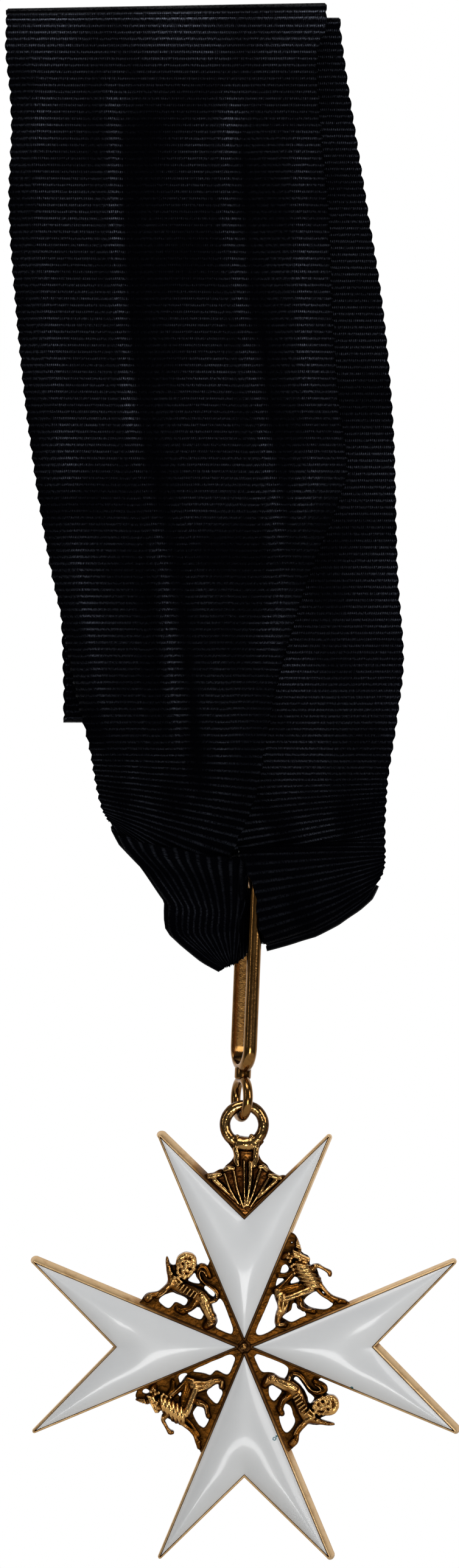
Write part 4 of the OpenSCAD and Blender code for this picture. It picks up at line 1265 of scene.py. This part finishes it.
def makeBeasts():
    for name, strokes, ground, turn, flip, seed in (
        ("lion_upper_left", lion, lionUpperGround, 0, True, 0),
        ("unicorn_upper_right", unicorn, unicornUpperGround, 0, False, 11),
        ("lion_lower_right", lion, lionLowerGround, -90, False, 23),
        ("unicorn_lower_left", unicorn, unicornLowerGround, 90, True, 37),
    ):
        bm = bmesh.new()
        outline = ground["outline"] + cast["bars"] + ground["last"]
        groundInto(bm, outline, ground["holes"], cast["groundHigh"])
        strokesInto(bm, strokes)
        skin = fuse(bm, cast["voxel"], seed)
        toCross(skin, turn, flip)
        obj = finishPiece(skin, name, "pendant", castGilt, "cross")
        print(name, "is made,", len(obj.data.polygons), "faces")


shell = dict(
    voxel=0.08, seed=51,
    ringReach=34.9, ringRadius=3.03, ringWire=1.74, ringLift=0.9, ringSteps=96,
    groundHigh=1.25,
    outline=[
        (0, 20.3), (3.2, 23.4), (6.3, 26.5), (6.3, 27), (5.5, 26.95), (4.7, 27.35), (4, 27.9), (3.6, 28.6),
        (2.85, 29.2), (2.4, 30), (2.3, 30.6), (2.5, 31.5), (3, 32.4), (0, 32.2), (-2.7, 32.5), (-2.1, 31.4),
        (-1.75, 30.6), (-1.65, 30), (-2.1, 29.2), (-2.9, 28.5), (-3.3, 28), (-3.9, 27.9), (-4.7, 27.45),
        (-5.4, 27.3), (-6.4, 27.1), (-6.4, 26.6), (-3.2, 23.4),
    ],
    strokes=dict(
        petals=[
            [(-4.7, 26.3, 0.5, 1.95), (-0.6, 22.4, 0.25, 1.85)],
            [(4.9, 26.1, 0.5, 1.95), (0.8, 22.3, 0.25, 1.85)],
        ],
        ridges=[
            [(-3.1, 27.2, 0.16, 2.1), (-2.25, 24.8, 0.16, 2.25), (-0.9, 22.5, 0.14, 2.1)],
            [(-1.65, 27.6, 0.2, 2.25), (-1.15, 25, 0.18, 2.35), (-0.1, 21.9, 0.14, 2.15)],
            [(-0.05, 29.2, 0.15, 2.3), (0, 26.7, 0.15, 2.4), (0.05, 22.1, 0.13, 2.2)],
            [(0.95, 28.9, 0.42, 2.2), (0.95, 26.7, 0.38, 2.35), (0.75, 24.5, 0.3, 2.3),
             (0.3, 22.2, 0.16, 2.15)],
            [(2.55, 27.8, 0.2, 2.25), (2, 26.2, 0.18, 2.35), (1.45, 24.3, 0.17, 2.3),
             (0.6, 22.2, 0.14, 2.15)],
            [(3.8, 26.5, 0.16, 2.1), (2.4, 24.2, 0.16, 2.25), (0.95, 22, 0.13, 2.1)],
        ],
        lips=[
            [(-5.6, 26.7, 0.35, 1.85), (-4.6, 26.95, 0.42, 2), (-3.7, 27.1, 0.35, 1.9)],
            [(-3.1, 27.8, 0.34, 1.95), (-2.4, 28.1, 0.42, 2.1), (-1.7, 28.1, 0.36, 2.1)],
            [(2.4, 28.3, 0.34, 2.1), (3, 28.3, 0.4, 2.1), (3.5, 27.8, 0.34, 1.95)],
            [(3.9, 27, 0.34, 1.9), (4.8, 26.75, 0.42, 2), (5.7, 26.5, 0.35, 1.85)],
        ],
        neck=[
            [(-0.75, 31.95, 1.25, 2.05), (0.3, 31.85, 1.2, 2.2), (1.35, 31.95, 1.25, 2.05)],
            [(-1.35, 31.2, 0.5, 2.1), (-1.15, 30.2, 0.52, 2.1), (-1.2, 29.3, 0.48, 2.15),
             (-1, 28.6, 0.3, 2.2)],
            [(1.85, 31.2, 0.5, 2.15), (1.75, 30.2, 0.5, 2.2), (1.75, 29.3, 0.5, 2.2), (1.6, 28.5, 0.4, 2.2)],
            [(-2, 32.7, 0.75, 1.8)], [(2.25, 32.7, 0.75, 1.8)], [(-1.1, 33, 0.42, 1.85)],
            [(1.15, 33.05, 0.45, 1.85)],
        ],
    ),
)


def wireRing(radius, wire, steps, sides=24):
    # a wire turned about its middle
    ring = bmesh.new()
    bmesh.ops.create_circle(ring, radius=wire / 2, segments=sides)
    turnAll(ring, math.pi / 2, "X")
    shiftAll(ring, (radius, 0, 0))
    bmesh.ops.spin(ring, geom=ring.edges[:], cent=(0, 0, 0), axis=(0, 0, 1), angle=2 * math.pi, steps=steps,
                   use_merge=True)
    bmesh.ops.remove_doubles(ring, verts=ring.verts[:], dist=tiny)
    bmesh.ops.recalc_face_normals(ring, faces=ring.faces[:])
    return ring


def makeShell():
    bm = bmesh.new()
    groundInto(bm, shell["outline"], [], shell["groundHigh"])
    strokesInto(bm, shell["strokes"])
    ring = wireRing(shell["ringRadius"], shell["ringWire"], shell["ringSteps"])
    shiftAll(ring, (0, shell["ringReach"], shell["ringLift"]))
    joinInto(bm, ring)
    skin = fuse(bm, shell["voxel"], shell["seed"])
    toCross(skin)
    finishPiece(skin, "shell_mount", "pendant", shellGilt, "cross")
    print("shell and ring are made")


nugget = dict(
    radius=0.58, lumps=0.35, lumpsPerMm=2.1, subdivisions=4,
    flatUnder=-0.45, stretch=1.1, middle=1.95,
    footBack=0.75, footFront=0.6, footDeep=1.6, footMiddle=1.2, footSides=32,
)


def makeNugget():
    bm = bmesh.new()
    bmesh.ops.create_icosphere(bm, subdivisions=nugget["subdivisions"], radius=nugget["radius"])
    for vert in bm.verts:
        vert.co *= 1 + nugget["lumps"] * noise.noise(vert.co * nugget["lumpsPerMm"])
        vert.co.z = max(vert.co.z, nugget["flatUnder"]) * nugget["stretch"] + nugget["middle"]
    foot = bmesh.new()
    bmesh.ops.create_cone(foot, cap_ends=True, segments=nugget["footSides"], radius1=nugget["footBack"],
                          radius2=nugget["footFront"], depth=nugget["footDeep"])
    shiftAll(foot, (0, 0, nugget["footMiddle"]))
    joinInto(bm, foot)
    toCross(bm)
    finishPiece(bm, "centre_nugget", "pendant", wireGilt, "cross")
    print("nugget is made")


# bail

bail = dict(
    gap=5.6, long=31.8, wireWide=2.16, wireThick=1.4, wireSides=40, wireEase=0.14, bendSteps=40,
    eyeRadius=3.0, eyeWire=1.56, eyeSteps=72,
    collarWide=2.6, collarLong=2.0, collarEase=0.35, collarRise=0.17,
    linkGap=0.17,                    # between the eye's wire and the ring's, mm
    turn=18.6, lean=2.3, shift=0.5,  # about the upright and to the right (degrees), to the left (mm)
    crispOver=45,
)


def makeBail():
    wide = bail["wireWide"]
    flat = wide / 2 - bail["wireThick"]
    barX = bail["gap"] / 2 - flat
    outerX = barX + wide / 2
    foot = 2 * bail["eyeRadius"] + bail["eyeWire"] / 2 + bail["collarRise"]
    low, high = foot + outerX, foot + bail["long"] - outerX
    bm = bmesh.new()
    # half-round section, flat side inwards, its corners eased
    bmesh.ops.create_circle(bm, cap_ends=True, radius=wide / 2, segments=bail["wireSides"])
    bmesh.ops.bisect_plane(bm, geom=bm.verts[:] + bm.edges[:] + bm.faces[:], plane_co=(flat, 0, 0),
                           plane_no=(-1, 0, 0), clear_outer=True)
    corners = [v for v in bm.verts if abs(v.co.x - flat) < tiny]
    bmesh.ops.bevel(bm, geom=corners, offset=bail["wireEase"], affect="VERTICES", segments=3, profile=0.5,
                    material=-1)
    bmesh.ops.delete(bm, geom=bm.faces[:], context="FACES_ONLY")
    turnAll(bm, -math.pi / 2, "X")
    shiftAll(bm, (barX, low, 0))
    # up one bar, round the top, down the other and round the foot
    section = bm.edges[:]
    for rise, at in ((high - low, high), (low - high, low)):
        made = bmesh.ops.extrude_edge_only(bm, edges=section)
        verts = vertsIn(made)
        bmesh.ops.translate(bm, verts=verts, vec=(0, rise, 0))
        edges = [g for g in made["geom"] if isinstance(g, bmesh.types.BMEdge)]
        made = bmesh.ops.spin(bm, geom=[e for e in edges if all(v in verts for v in e.verts)],
                              cent=(0, at, 0), axis=(0, 0, 1), angle=math.pi, steps=bail["bendSteps"])
        section = [g for g in made["geom_last"] if isinstance(g, bmesh.types.BMEdge)]
    bmesh.ops.remove_doubles(bm, verts=bm.verts[:], dist=tiny)
    # collar
    collar = bmesh.new()
    bmesh.ops.create_cone(collar, cap_ends=True, segments=bail["wireSides"], radius1=bail["collarWide"] / 2,
                          radius2=bail["collarWide"] / 2, depth=bail["collarLong"])
    rims = [e for e in collar.edges if len({round(v.co.z, 4) for v in e.verts}) == 1]
    bmesh.ops.bevel(collar, geom=rims, offset=bail["collarEase"], affect="EDGES", segments=4, profile=0.5,
                    material=-1)
    turnAll(collar, -math.pi / 2, "X")
    shiftAll(collar, (0, foot, 0))
    joinInto(bm, collar)
    eye = wireRing(bail["eyeRadius"], bail["eyeWire"], bail["eyeSteps"])
    shiftAll(eye, (0, bail["eyeRadius"], 0))
    joinInto(bm, eye)
    # where it hangs: its eye under the top of the cross's ring
    ringTop = centre.z / mm + shell["ringReach"] + shell["ringRadius"]
    eyeBottom = ringTop - shell["ringWire"] / 2 - bail["linkGap"] - bail["eyeWire"] / 2
    spot = Vector((centre.x / mm - bail["shift"], centre.y / mm - shell["ringLift"], eyeBottom))
    place = Matrix.Scale(mm, 4) @ Matrix.Translation(spot)
    for angle, axis in ((bail["lean"], "Y"), (90 + bail["turn"], "Z"), (90, "X")):
        place = place @ Matrix.Rotation(math.radians(angle), 4, axis)
    bmesh.ops.transform(bm, matrix=place, verts=bm.verts[:])
    finishPiece(bm, "bail_wire", "hanger", wireGilt, "bail", bail["crispOver"])
    print("bail is made")


makeBail()
makeRibbon()
makeTrays()
makeEnamels()
makeBeasts()
makeShell()
makeNugget()
